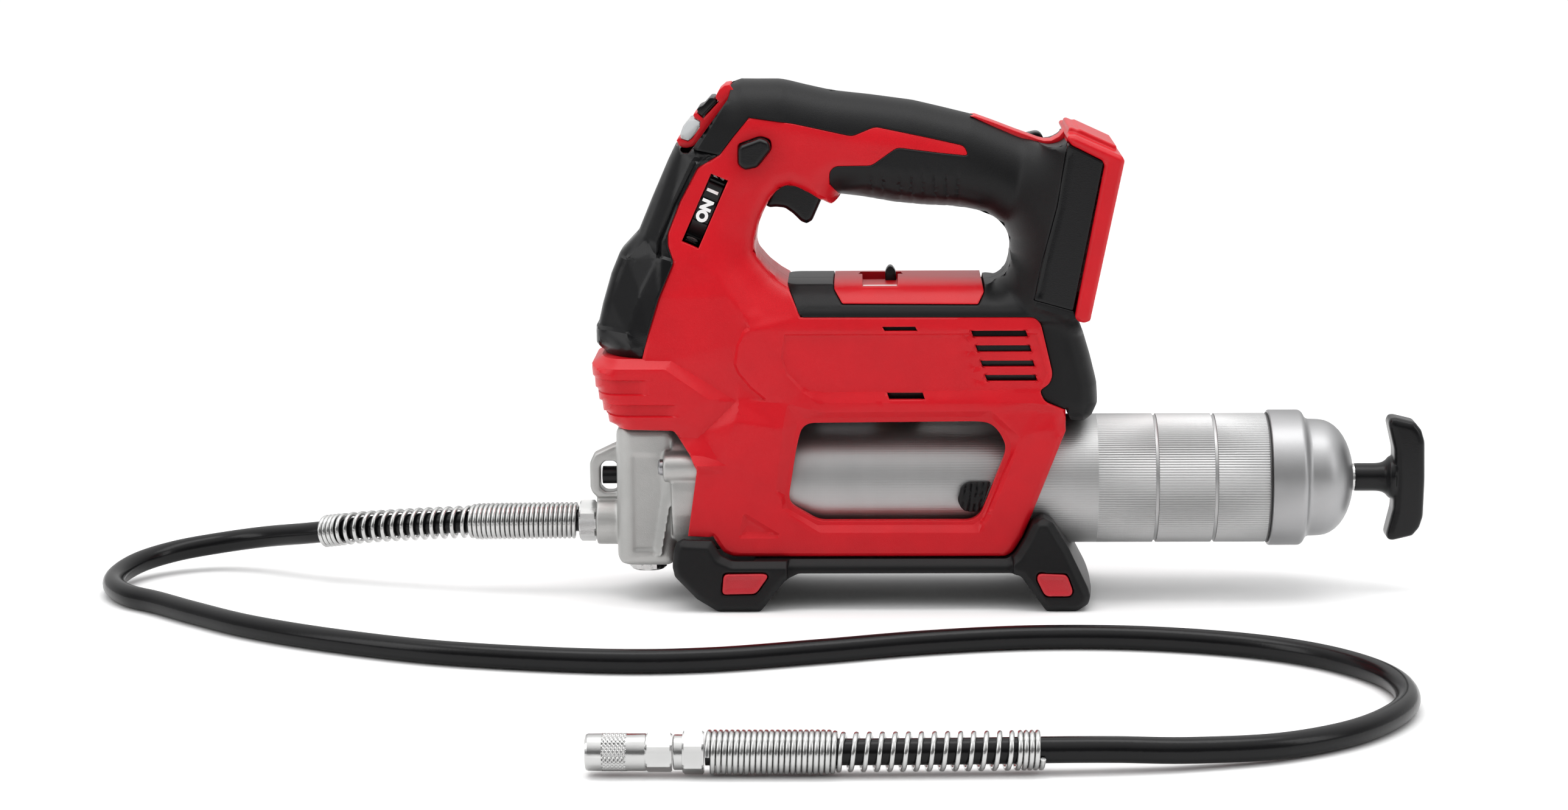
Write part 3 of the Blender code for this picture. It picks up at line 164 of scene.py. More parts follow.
def finish(name, colour, roughness, metallic=0.0, grain=(1500.0, 0.1), mottle=0.08, wear=0.0,
           stretch=(1.0, 1.0, 1.0), specular=0.5):
    """A procedural surface: fine grain in the bump, slow mottling in colour and roughness, and
    paler worn edges. grain is (scale per metre, strength)."""
    mat = bpy.data.materials.new(name)
    mat.use_nodes = True
    tree = mat.node_tree
    link = tree.links.new
    shader = tree.nodes["Principled BSDF"]
    shader.inputs["Metallic"].default_value = metallic
    shader.inputs["Specular IOR Level"].default_value = specular
    place = add_node(tree, "ShaderNodeTexCoord")
    mapping = add_node(tree, "ShaderNodeMapping", {"Scale": stretch})
    fine = add_node(tree, "ShaderNodeTexNoise", {"Scale": grain[0], "Detail": 3.0})
    slow = add_node(tree, "ShaderNodeTexNoise", {"Scale": MOTTLE_SCALE, "Detail": 4.0})
    link(place.outputs["Object"], mapping.inputs["Vector"])
    link(mapping.outputs["Vector"], fine.inputs["Vector"])
    link(mapping.outputs["Vector"], slow.inputs["Vector"])

    shade = add_node(tree, "ShaderNodeValToRGB")
    dark, light = shade.color_ramp.elements
    dark.position = 0.3
    light.position = 0.7
    dark.color = tinted(colour, 1 - mottle)
    light.color = tinted(colour, 1 + mottle)
    link(slow.outputs["Fac"], shade.inputs["Fac"])
    base = shade.outputs["Color"]
    if wear:
        geometry = add_node(tree, "ShaderNodeNewGeometry")
        edge = add_node(tree, "ShaderNodeMapRange", {"From Min": 0.52, "From Max": 0.62, "To Max": wear})
        mix = add_node(tree, "ShaderNodeMix", {"B": tinted(colour, 1.5, 0.04)}, data_type="RGBA")
        link(geometry.outputs["Pointiness"], edge.inputs["Value"])
        link(edge.outputs["Result"], mix.inputs["Factor"])
        link(base, mix.inputs["A"])
        base = mix.outputs["Result"]
    link(base, shader.inputs["Base Color"])

    both = add_node(tree, "ShaderNodeMath", operation="ADD", use_clamp=True)
    half = add_node(tree, "ShaderNodeMath", {1: 0.5}, operation="MULTIPLY")
    polish = add_node(tree, "ShaderNodeMapRange", {"To Min": max(roughness - ROUGHNESS_SPREAD, 0.03),
                                                   "To Max": min(roughness + ROUGHNESS_SPREAD, 1.0)})
    link(fine.outputs["Fac"], both.inputs[0])
    link(slow.outputs["Fac"], both.inputs[1])
    link(both.outputs["Value"], half.inputs[0])
    link(half.outputs["Value"], polish.inputs["Value"])
    link(polish.outputs["Result"], shader.inputs["Roughness"])

    bump = add_node(tree, "ShaderNodeBump", {"Strength": grain[1], "Distance": GRAIN_DEPTH})
    link(fine.outputs["Fac"], bump.inputs["Height"])
    link(bump.outputs["Normal"], shader.inputs["Normal"])
    return mat


def lens_material():
    mat = finish("clear_lens", (0.72, 0.74, 0.75), 0.1, grain=(300.0, 0.01), mottle=0.02)
    mat.node_tree.nodes["Principled BSDF"].inputs["Transmission Weight"].default_value = 0.6
    return mat


RED = finish("red_nylon", (0.56, 0.005, 0.012), 0.34, grain=(2600.0, 0.2), wear=0.25, mottle=0.05,
             specular=0.28)
RUBBER = finish("black_rubber", (0.007, 0.007, 0.0075), 0.42, grain=(3200.0, 0.2), wear=0.15, specular=0.2)
BLACK = finish("black_nylon", (0.004, 0.004, 0.0045), 0.27, grain=(2400.0, 0.12), wear=0.15, specular=0.25)
CAST = finish("cast_alloy", (0.44, 0.44, 0.43), 0.44, metallic=0.75, grain=(2200.0, 0.2), wear=0.2)
ALUMINIUM = finish("aluminium", (0.46, 0.46, 0.46), 0.48, metallic=1.0, grain=(1800.0, 0.08),
                   stretch=(1.0, 0.06, 0.06), mottle=0.04)
DOME = finish("anodised_dome", (0.38, 0.38, 0.385), 0.44, metallic=1.0, grain=(3000.0, 0.1), mottle=0.04)
ZINC = finish("zinc_steel", (0.50, 0.50, 0.495), 0.22, metallic=1.0, grain=(1200.0, 0.06), wear=0.2)
HOSE = finish("hose_rubber", (0.004, 0.004, 0.0045), 0.22, grain=(700.0, 0.1), mottle=0.15, specular=0.22)
LENS = lens_material()
COPPER = finish("copper", (0.60, 0.28, 0.14), 0.32, metallic=1.0, grain=(5000.0, 0.3))
BRASS = finish("brass", (0.62, 0.43, 0.17), 0.28, metallic=1.0)
BOARD = finish("green_board", (0.02, 0.13, 0.05), 0.4, grain=(800.0, 0.15))
STEEL = finish("gear_steel", (0.34, 0.34, 0.35), 0.32, metallic=1.0, grain=(2000.0, 0.12), wear=0.3)
WHITE = finish("white_print", (0.85, 0.85, 0.84), 0.5, grain=(4000.0, 0.05), mottle=0.03)
INSERT = finish("red_insert", (0.50, 0.012, 0.022), 0.5, grain=(2200.0, 0.3), wear=0.3)

NODE_LOOKS = {
    "red_nylon": RED, "black_rubber": RUBBER, "black_nylon": BLACK, "cast_alloy": CAST,
    "aluminium": ALUMINIUM, "zinc_steel": ZINC, "hose_rubber": HOSE, "clear_lens": LENS,
    "copper": COPPER, "brass": BRASS, "green_board": BOARD, "gear_steel": STEEL,
}
# The material slot that a piece with each look belongs to
LOOK_SLOTS = {look.name: slot for slot, look in NODE_LOOKS.items()}
LOOK_SLOTS.update({DOME.name: "aluminium", WHITE.name: "red_nylon", INSERT.name: "red_nylon",
                   STEEL.name: "zinc_steel"})


# ---------------------------------------------------------------- flat geometry, in (x, z)

def rounded(points, radius, closed=True, steps=4):
    """The outline with each corner swept by a curve that starts radius before it."""
    count = len(points)
    out = []
    for i, p in enumerate(points):
        if not closed and i in (0, count - 1):
            out.append(tuple(p))
            continue
        here = Vector(p)
        before = Vector(points[i - 1])
        after = Vector(points[(i + 1) % count])
        reach_in = min(radius, 0.45 * (here - before).length)
        reach_out = min(radius, 0.45 * (after - here).length)
        start = here + (before - here).normalized() * reach_in
        end = here + (after - here).normalized() * reach_out
        for k in range(steps + 1):
            t = k / steps
            q = start * (1 - t) ** 2 + here * (2 * t * (1 - t)) + end * t ** 2
            out.append((q.x, q.y))
    return out


def resampled(points, step, closed=True):
    """The same line with points no further apart than step."""
    pairs = list(zip(points, points[1:]))
    if closed:
        pairs.append((points[-1], points[0]))
    out = []
    for a, b in pairs:
        a, b = Vector(a), Vector(b)
        parts = max(1, math.ceil((b - a).length / step))
        out += [tuple(a.lerp(b, k / parts)) for k in range(parts)]
    if not closed:
        out.append(tuple(points[-1]))
    return out


def distance_to(points, line, closed=True):
    """Distance from each point of an (n, 2) array to a line of (x, z) points."""
    a = np.array(line, float)
    b = np.roll(a, -1, axis=0)
    if not closed:
        a, b = a[:-1], b[:-1]
    along = b - a
    square = np.maximum((along ** 2).sum(1), 1e-12)
    out = np.empty(len(points))
    for start in range(0, len(points), 4000):
        block = points[start:start + 4000, None, :]
        share = np.clip(((block - a) * along).sum(2) / square, 0.0, 1.0)
        gap = block - (a + share[:, :, None] * along)
        out[start:start + 4000] = np.sqrt((gap ** 2).sum(2).min(1))
    return out


def is_inside(points, loop):
    """Even-odd test of each point of an (n, 2) array against a closed loop."""
    x, z = points[:, 0], points[:, 1]
    found = np.zeros(len(points), bool)
    for (x0, z0), (x1, z1) in zip(loop, loop[1:] + loop[:1]):
        if z0 == z1:
            continue
        crosses = (z0 > z) != (z1 > z)
        found ^= crosses & (x < (x1 - x0) * (z - z0) / (z1 - z0) + x0)
    return found


def outside(points, loop):
    """Distance to the loop from points outside it, and 0 inside it."""
    return np.where(is_inside(points, loop), 0.0, distance_to(points, loop))


def depth_in(points, loop):
    """Distance to the loop's edge from points inside it, and 0 outside it."""
    return np.where(is_inside(points, loop), distance_to(points, loop), 0.0)


def round_drop(distance, across, deep):
    """How far an elliptical edge falls away at each distance from it."""
    share = 1.0 - np.clip(distance / across, 0.0, 1.0)
    return deep * (1.0 - np.sqrt(1.0 - share ** 2))


def groove(distance, width, deep):
    """A channel with round sides about a line."""
    return deep * np.clip(1.0 - (distance / width) ** 2, 0.0, 1.0)


# ---------------------------------------------------------------- meshes

def piece(name, bm, look, replaced=(), body="tool", angle=30.0):
    """A finished piece from a bmesh in millimetres, shaded smooth and riding on its body."""
    mesh = bpy.data.meshes.new(name)
    bmesh.ops.transform(bm, matrix=Matrix.Scale(MM, 4), verts=bm.verts)
    bm.to_mesh(mesh)
    bm.free()
    return adopt(name, mesh, look, replaced, body, angle)


def dressed(obj, look, replaced, body):
    """A finished object in the scene, with its look and its ties to the frame."""
    bpy.context.scene.collection.objects.link(obj)
    obj.data.materials.clear()
    obj.data.materials.append(look)
    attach(obj, body)
    if replaced:
        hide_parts(*replaced)
    return obj


def adopt(name, mesh, look, replaced, body, angle=30.0):
    """A finished piece from a mesh in metres. Edges sharper than angle, in degrees, stay crisp."""
    mesh.name = name
    mesh.shade_smooth()
    mesh.set_sharp_from_angle(angle=math.radians(angle))
    return dressed(bpy.data.objects.new(name, mesh), look, replaced, body)


RING_DISTANCES = (0.12, 0.35, 0.7, 1.2, 2.0, 3.0, 4.3)
CREASE_MARGIN = 0.3
ROW_SHARE = 0.87
THINNEST = 0.05


def within(points, loops):
    """Which points are inside the first loop and outside the others."""
    ok = is_inside(points, loops[0])
    for hole in loops[1:]:
        ok &= ~is_inside(points, hole)
    return ok


def allowed(points, loops, margin):
    """Which points are within the loops and a margin from all of them."""
    ok = within(points, loops)
    for loop in loops:
        ok &= distance_to(points, loop) > margin
    return ok


def fixed_lines(loops, creases, step):
    """The points and edges of the loops and, inside them, of the creases."""
    coords, edges = [], []
    for loop in loops:
        first = len(coords)
        coords += loop
        edges += [(first + i, first + (i + 1) % len(loop)) for i in range(len(loop))]
    for crease in creases:
        line = np.array(resampled(crease, step, closed=False))
        joined = False
        for point, inside in zip(line, allowed(line, loops, CREASE_MARGIN)):
            if inside:
                coords.append(tuple(point))
                if joined:
                    edges.append((len(coords) - 2, len(coords) - 1))
            joined = inside
    return np.array(coords), edges


def free_points(fixed, loops, creases, step):
    """Rings that close up towards each loop, and a staggered grid in the space that is left."""
    extra = []
    for loop in loops:
        line = np.array(loop)
        ahead = np.roll(line, -1, axis=0) - np.roll(line, 1, axis=0)
        normal = np.stack([-ahead[:, 1], ahead[:, 0]], 1)
        normal /= np.maximum(np.linalg.norm(normal, axis=1, keepdims=True), 1e-9)
        for gap in RING_DISTANCES:
            for sign in (-1.0, 1.0):
                ring = line + normal * gap * sign
                extra.append(ring[allowed(ring, loops, 0.9 * gap)])
    low, high = fixed.min(0), fixed.max(0)
    rows = []
    for i, z in enumerate(np.arange(low[1], high[1], step * ROW_SHARE)):
        along = np.arange(low[0] + (i % 2) * step / 2, high[0], step)
        rows.append(np.stack([along, np.full(len(along), z)], 1))
    grid = np.concatenate(rows)
    extra.append(grid[allowed(grid, loops, RING_DISTANCES[-1] + 0.5 * step)])
    extra = np.concatenate(extra)
    for crease in creases:
        extra = extra[distance_to(extra, crease, closed=False) > 0.45 * step]
    return extra


def triangulated(loops, creases, step):
    """Points over the side view, and the triangles between them that lie within the loops."""
    fixed, edges = fixed_lines(loops, creases, step)
    points = np.concatenate([fixed, free_points(fixed, loops, creases, step)])
    made = delaunay_2d_cdt([Vector(p) for p in points], edges, [], 0, 1e-5)
    flat = np.array([tuple(v) for v in made[0]])
    faces = np.array([f for f in made[2] if len(f) == 3])
    faces = faces[within(flat[faces].mean(1), loops)]
    used = np.unique(faces)
    place = np.full(len(flat), -1)
    place[used] = np.arange(len(used))
    return flat[used], place[faces]


def relief(outline, height, back, holes=(), creases=(), *, edge, step=1.5, side=-1):
    """A closed piece whose outer face is a height over the side view.

    outline and holes are loops of (x, z); height and back give each point's distance from the
    middle plane; creases are lines that the mesh follows; edge is the radius of its own rim."""
    loops = [resampled(loop, step) for loop in (outline, *holes)]
    flat, faces = triangulated(loops, creases, step)
    rim = np.min([distance_to(flat, loop) for loop in loops], axis=0)
    front = height(flat) - round_drop(rim, edge, edge)
    rear = np.minimum(back(flat), front - THINNEST)
    verts = np.concatenate([np.stack([flat[:, 0], side * y, flat[:, 1]], 1) for y in (front, rear)])
    count = len(flat)
    outer = faces if side > 0 else faces[:, ::-1]
    inner = outer[:, ::-1] + count
    directed = dict.fromkeys(pair for a, b, c in outer.tolist() for pair in ((a, b), (b, c), (c, a)))
    walls = [(b, a, a + count, b + count) for a, b in directed if (b, a) not in directed]
    bm = bmesh.new()
    made = [bm.verts.new(v) for v in verts]
    for face in [*outer.tolist(), *inner.tolist(), *walls]:
        bm.faces.new([made[i] for i in face])
    bmesh.ops.recalc_face_normals(bm, faces=bm.faces)
    return bm


def level(distance):
    """A face that stays at one distance from the middle plane."""
    return lambda p: np.full(len(p), distance)


def join_rings(bm, rings):
    """Quads between each ring of vertices and the next."""
    for a, b in zip(rings, rings[1:]):
        for k in range(len(a)):
            j = (k + 1) % len(a)
            bm.faces.new((a[k], a[j], b[j], b[k]))


def close_ends(bm, rings):
    bm.faces.new(rings[0][::-1])
    bm.faces.new(rings[-1])


def spun(profile, z, y=0.0, steps=96, ripple=None):
    """A profile of (x, radius) turned about an axis along X; ripple(x, angle) is added to the radius."""
    bm = bmesh.new()
    rings = []
    for x, radius in profile:
        ring = []
        for k in range(steps):
            angle = 2 * math.pi * k / steps
            r = radius + (ripple(x, angle) if ripple else 0.0)
            ring.append(bm.verts.new((x, y + r * math.cos(angle), z + r * math.sin(angle))))
        rings.append(ring)
    join_rings(bm, rings)
    if profile[0] == profile[-1]:
        bmesh.ops.remove_doubles(bm, verts=bm.verts, dist=1e-4)
    else:
        close_ends(bm, rings)
    bmesh.ops.recalc_face_normals(bm, faces=bm.faces)
    return bm


def block(low, high, bevel):
    """A box between two corners, with round edges."""
    bm = bmesh.new()
    size = [b - a for a, b in zip(low, high)]
    middle = [(a + b) / 2 for a, b in zip(low, high)]
    bmesh.ops.create_cube(bm, size=1.0, matrix=Matrix.Translation(middle) @ Matrix.Diagonal((*size, 1.0)))
    bmesh.ops.bevel(bm, geom=bm.edges, offset=bevel, segments=2, profile=0.5, affect="EDGES")
    return bm


def rod(start, end, radius, sides):
    start, end = Vector(start), Vector(end)
    along = end - start
    bm = bmesh.new()
    turn = along.to_track_quat("Z", "Y").to_matrix().to_4x4()
    bmesh.ops.create_cone(bm, cap_ends=True, segments=sides, radius1=radius, radius2=radius,
                          depth=along.length, matrix=Matrix.Translation((start + end) / 2) @ turn)
    return bm


def extruded(outline, low, high, bevel, segments=3):
    """An outline of (x, z) made solid between two places along Y, with round rims."""
    bm = bmesh.new()
    bottom = [bm.verts.new((x, low, z)) for x, z in outline]
    top = [bm.verts.new((x, high, z)) for x, z in outline]
    ends = [bm.faces.new(bottom), bm.faces.new(top[::-1])]
    for i in range(len(outline)):
        j = (i + 1) % len(outline)
        bm.faces.new((bottom[j], bottom[i], top[i], top[j]))
    bmesh.ops.recalc_face_normals(bm, faces=bm.faces)
    rims = list({e for f in ends for e in f.edges})
    bmesh.ops.bevel(bm, geom=rims, offset=bevel, segments=segments, profile=0.5, affect="EDGES")
    return bm


def from_node(name):
    """The rest mesh of a CAD node as a bmesh in millimetres."""
    bm = bmesh.new()
    bm.from_mesh(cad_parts[name].data)
    bmesh.ops.remove_doubles(bm, verts=bm.verts, dist=1e-7)
    bmesh.ops.transform(bm, matrix=Matrix.Scale(1 / MM, 4), verts=bm.verts)
    return bm


def node_box(name):
    """The low and high corners of a CAD node in millimetres."""
    return [[c / MM for c in corner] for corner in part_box(name)[:2]]


def merged(*parts):
    """Several bmeshes as one."""
    whole = bmesh.new()
    for part in parts:
        mesh = bpy.data.meshes.new("part")
        part.to_mesh(mesh)
        part.free()
        whole.from_mesh(mesh)
        bpy.data.meshes.remove(mesh)
    return whole


def moulded(name, bm, look, replaced, body="tool", voxel=0.7, smoothing=5, adjust=None):
    """Overlapping closed solids fused on a fine grid, bent by adjust and smoothed, as a casting is."""
    mesh = bpy.data.meshes.new(name)
    bmesh.ops.transform(bm, matrix=Matrix.Scale(MM, 4), verts=bm.verts)
    bm.to_mesh(mesh)
    bm.free()
    work = bpy.data.objects.new("work", mesh)
    bpy.context.scene.collection.objects.link(work)
    remesh = work.modifiers.new("fuse", "REMESH")
    remesh.mode = "VOXEL"
    remesh.voxel_size = voxel * MM
    made = applied(work)
    if adjust:
        places = np.empty(len(made.vertices) * 3)
        made.vertices.foreach_get("co", places)
        places = adjust(places.reshape(-1, 3) / MM) * MM
        made.vertices.foreach_set("co", places.ravel())
    soft = bmesh.new()
    soft.from_mesh(made)
    for _ in range(smoothing):
        bmesh.ops.smooth_vert(soft, verts=soft.verts, factor=0.5, use_axis_x=True, use_axis_y=True,
                              use_axis_z=True)
    soft.to_mesh(made)
    soft.free()
    return adopt(name, made, look, replaced, body, angle=180.0)


def applied(work):
    """The evaluated mesh of a work object, which is then removed."""
    bpy.context.view_layer.update()
    evaluated = work.evaluated_get(bpy.context.evaluated_depsgraph_get())
    mesh = bpy.data.meshes.new_from_object(evaluated)
    mesh.transform(work.matrix_world)
    bpy.data.objects.remove(work, do_unlink=True)
    return mesh


# ---------------------------------------------------------------- hose and its springs

HOSE_RADIUS = 4.93
HOSE_ROUTE = [(-190.3, 0, 32.7), (-215, 0, 32.5), (-240, 3, 31.5), (-265, 9, 29.2), (-290, 17.5, 26.0),
              (-315, 27.9, 21.3), (-339, 42.0, 16.5), (-361, 45.7, 12.8), (-380, 39.8, 10.4),
              (-393.9, 26.4, 8.3), (-400.4, 8.9, 6.2), (-398.6, -9.7, 5.3), (-388.1, -28.4, 5.15),
              (-372.9, -41.4, 5.15), (-351, -62.8, 5.15), (-322, -88, 5.15), (-281, -113, 5.15),
              (-232, -134, 5.15), (-171, -146.5, 5.15), (-127, -144.9, 5.15), (-82, -131.3, 5.15),
              (-37, -115.8, 5.15), (8.5, -107.1, 5.15), (54, -108.9, 5.15), (98, -122.7, 5.15),
              (129, -146, 5.15), (147, -179, 5.15), (146.5, -217, 5.15), (126, -252, 5.15),
              (94, -276, 5.4), (58, -288, 6.8), (30, -292.3, 8.3), (8, -294, 8.7),
              (-20, -295.5, 8.7), (-50, -296.5, 8.7), (-85, -297, 8.7), (-119.6, -297, 8.7)]
HOSE_STEP = 4.0
ROUTE_PARTS = 16


def smooth_route(points, step):
    """Points a step apart along a Catmull-Rom curve through the route's own points."""
    route = [Vector(p) for p in points]
    ends = [route[0] * 2 - route[1]] + route + [route[-1] * 2 - route[-2]]
    fine = []
    for p0, p1, p2, p3 in zip(ends, ends[1:], ends[2:], ends[3:]):
        for i in range(ROUTE_PARTS):
            t = i / ROUTE_PARTS
            fine.append(0.5 * ((2 * p1) + (p2 - p0) * t + (2 * p0 - 5 * p1 + 4 * p2 - p3) * t * t
                               + (3 * p1 - p0 - 3 * p2 + p3) * t ** 3))
    fine.append(route[-1])
    lengths = np.concatenate([[0.0], np.cumsum([(b - a).length for a, b in zip(fine, fine[1:])])])
    wanted = np.linspace(0.0, lengths[-1], round(lengths[-1] / step) + 1)
    places = np.array([tuple(p) for p in fine])
    return np.stack([np.interp(wanted, lengths, places[:, i]) for i in range(3)], 1), lengths[-1]


def tube(name, points, radius, resolution):
    """Curve data for a round tube along points in millimetres."""
    curve = bpy.data.curves.new(name, "CURVE")
    curve.dimensions = "3D"
    curve.bevel_depth = radius * MM
    curve.bevel_resolution = resolution
    curve.use_fill_caps = True
    spline = curve.splines.new("POLY")
    spline.points.add(len(points) - 1)
    for point, place in zip(spline.points, points):
        point.co = (*[c * MM for c in place], 1.0)
    spline.use_smooth = True
    return curve


def curve_piece(name, points, radius, look, replaced, resolution=4):
    curve = tube(name, points, radius, resolution)
    return dressed(bpy.data.objects.new(name, curve), look, replaced, "tool")


SPRING_WIRE = 1.02
SPRING_START = 0.9
TURN_POINTS = 22


def spring_points(path, turns):
    """A helix about the path. turns is a list of (pitch, outer radius), one for each turn."""
    lengths = np.concatenate([[0.0], np.cumsum(np.linalg.norm(np.diff(path, axis=0), axis=1))])
    tangents = np.gradient(path, lengths, axis=0)
    out = []
    travelled = SPRING_START
    for index, (pitch, radius) in enumerate(turns):
        next_radius = turns[min(index + 1, len(turns) - 1)][1]
        for k in range(TURN_POINTS):
            share = k / TURN_POINTS
            at = travelled + pitch * share
            middle = np.array([np.interp(at, lengths, path[:, i]) for i in range(3)])
            tangent = Vector([np.interp(at, lengths, tangents[:, i]) for i in range(3)]).normalized()
            side = tangent.cross(Vector((0, 0, 1))).normalized()
            up = side.cross(tangent)
            r = (radius * (1 - share) + next_radius * share) - SPRING_WIRE
            angle = 2 * math.pi * share
            out.append(tuple(Vector(middle) + (side * math.cos(angle) + up * math.sin(angle)) * r))
        travelled += pitch
    return out


def spring_turns():
    """From the fitting outwards: a long closed coil, an open coil, and four closed end turns."""
    closed = [(2.08, 8.3)] * 22
    taper = [(2.3, 8.1)]
    opened = [(4.75, 7.45)] * 13
    last = [(3.4, 7.45)]
    end = [(2.1, 7.45)] * 4
    return closed + taper + opened + last + end


def make_hose():
    path, length = smooth_route(HOSE_ROUTE, HOSE_STEP)
    hose = curve_piece("flexible_hose", path, HOSE_RADIUS, HOSE, ["hose"], resolution=8)
    springs = [curve_piece(f"strain_spring_{end}", spring_points(route, spring_turns()), SPRING_WIRE, ZINC,
                           [f"hose_spring_{end}"])
               for end, route in (("gun", path), ("end", path[::-1]))]
    make_hose_nut()
    make_coupler()


NUT_SIDES = 48
NUT_CHAMFER = 0.7
UPRIGHT = math.radians(90)


def hex_nut(x0, x1, radius, y, z, turn):
    """A hexagon whose corners are turned down at both ends."""
    bm = bmesh.new()
    rings = []
    flat = radius * math.cos(math.pi / 6)
    for x, limit in ((x0, flat - 0.3), (x0, flat + 0.1), (x0 + NUT_CHAMFER, radius),
                     (x1 - NUT_CHAMFER, radius), (x1, flat + 0.1), (x1, flat - 0.3)):
        ring = []
        for k in range(NUT_SIDES):
            angle = 2 * math.pi * k / NUT_SIDES
            local = (angle - turn + math.pi / 6) % (math.pi / 3) - math.pi / 6
            r = min(flat / math.cos(math.pi / 6 - abs(local)), limit)
            ring.append(bm.verts.new((x, y + r * math.cos(angle), z + r * math.sin(angle))))
        rings.append(ring)
    join_rings(bm, rings)
    close_ends(bm, rings)
    bmesh.ops.remove_doubles(bm, verts=bm.verts, dist=1e-4)
    bmesh.ops.recalc_face_normals(bm, faces=bm.faces)
    return bm


def make_hose_nut():
    low, high = node_box("hose_nut")
    bm = hex_nut(low[0], high[0], 9.4, 0.0, (low[2] + high[2]) / 2, UPRIGHT)
    return piece("hose_hex_nut", bm, ZINC, ["hose_nut"], angle=20.0)


COUPLER_Y = -297.0
COUPLER_Z = 8.7
DIAMONDS = (-157.2, -148.2)
DIAMOND_STEP = 0.25
DIAMOND_STARTS = 22
DIAMOND_TWIST = 4.2


def diamond(x, angle):
    """The coupler's knurling: two sets of ridges that cross."""
    if not DIAMONDS[0] < x < DIAMONDS[1]:
        return 0.0
    twist = DIAMOND_TWIST * (x + 157)
    ridges = [math.cos(DIAMOND_STARTS * angle + twist), math.cos(DIAMOND_STARTS * angle - twist)]
    return 0.22 * (max(ridges) - 1.0)


def make_coupler():
    low, high = node_box("hose_adapter")
    nut = hex_nut(-127.8, high[0], 8.4, COUPLER_Y, COUPLER_Z, UPRIGHT)
    neck = spun([(low[0], 6.2), (low[0] + 0.4, 6.5), (-127.9, 6.5)], COUPLER_Z, COUPLER_Y, steps=48)
    adapter = piece("hose_adapter_nut", merged(nut, neck), ZINC, ["hose_adapter"], angle=20.0)
    profile = [(-163.4, 4.4), (-163.4, 5.9), (-163.1, 6.5), (-162.4, 6.8), (-157.3, 6.85)]
    profile += [(DIAMONDS[0] + DIAMOND_STEP * i, 6.95) for i in range(37)]
    profile += [(-147.9, 6.85), (-141.4, 6.85), (-140.9, 6.5)]
    body = spun(profile, COUPLER_Z, COUPLER_Y, steps=8 * DIAMOND_STARTS, ripple=diamond)
    grip = hex_nut(-141.2, -131.6, 7.5, COUPLER_Y, COUPLER_Z, UPRIGHT)
    mouth = spun([(-163.5, 4.4), (-163.0, 4.3), (-160.0, 3.0)], COUPLER_Z, COUPLER_Y, steps=48)
    coupler = piece("grease_coupler_body", merged(body, grip, mouth), ZINC, ["grease_coupler"], angle=20.0)
    return adapter, coupler


# ---------------------------------------------------------------- the housing in side view

# Lines that two neighbouring pieces share, and the silhouette between them
GUARD_LINE = [(-159, 110.3), (-156.5, 120.5), (-151.5, 137), (-145, 152.3), (-147.5, 159.5),
              (-147.5, 164.5), (-142, 178.5), (-134.3, 193), (-124.8, 198.3)]
TONGUE_START = [(-118.5, 206.5), (-112, 214.3)]
TONGUE_TOP = [(-92.5, 211.5), (-67.5, 206), (-57.5, 210), (-36, 205.5), (-18.8, 201.6), (-17, 197.2)]
TONGUE_LOW = [(-29, 198.5), (-48, 201), (-59, 193.2), (-75, 193), (-77.3, 190.5), (-77.3, 185),
              (-72.5, 179.2)]
ARCH = [(-76.5, 175.5), (-80.5, 177.5), (-88.5, 182.5), (-94.5, 184.8), (-99, 183.6), (-103.2, 179),
        (-107.5, 170.5), (-109.8, 162), (-110.2, 156), (-107.5, 151.8), (-102, 146), (-95.8, 142)]
BAND_LINE = [(-90, 129), (11.3, 128.7), (13.8, 126), (19, 104.2), (18, 99.8), (13.4, 96.6), (15.6, 91.8),
             (25, 87.6)]
REAR_EDGE = [(25, 78.5), (9.5, 39), (6.5, 31.5), (2.5, 25), (-0.5, 23)]
BOTTOM_EDGE = [(-120, 23), (-124.5, 25), (-127.5, 29.5), (-129, 32)]
HEAD_LINE = [(-139.8, 32.5), (-135.5, 62), (-138.5, 68.5), (-145.7, 78.8), (-166.5, 79.3)]
SHOULDER_FRONT = [(-171.5, 79.4), (-174.7, 81), (-175.4, 85.4), (-177.2, 86), (-177.7, 90.6), (-178.9, 91.2),
                  (-179.4, 95.8), (-180.6, 96.6), (-180.9, 101.4), (-181.6, 102.2), (-182, 107.2),
                  (-177.6, 110.3)]
GUARD_FRONT = [(-176.4, 110.3), (-180.4, 115), (-180.4, 122.6), (-179.4, 123.8), (-177.5, 132),
               (-173.5, 145.5), (-169.5, 155), (-161.5, 163.5), (-155, 179), (-148, 195), (-144.8, 201.5)]
GUARD_TOP = [(-143.0, 201.2), (-141.8, 198.9), (-138.6, 198.7)]
LIGHT_EDGE = [(-136.7, 200.9), (-133.5, 205.3), (-121.2, 221.9), (-120.3, 225.2), (-120.5, 227.4)]
HANDLE_FRONT = [(-119.0, 228.6), (-115.9, 229.7)]
LIGHT_CREASE = [(-134.6, 200.3), (-125.6, 214.5), (-120.9, 222.0), (-116.3, 229.0)]
HANDLE_TOP = [(-109, 229.6), (-99.5, 229.6), (-95.5, 229), (-87.5, 227), (-76.5, 224.5), (-59, 222.5),
              (-41, 220), (-28.5, 217), (-14, 213.4), (-6, 210), (3, 206.2), (13.5, 202), (18, 201),
              (22.5, 202), (25, 204)]
PANEL_LINE = [(20.3, 177), (14.2, 153.5), (10.8, 136.5)]
MOUNT_LOW = [(27.6, 131.8), (30.6, 126)]
BULGE_EDGE = [(33, 120), (36, 110), (39, 98), (39.5, 89), (37, 83.5), (33.5, 80.8), (28, 80.8)]
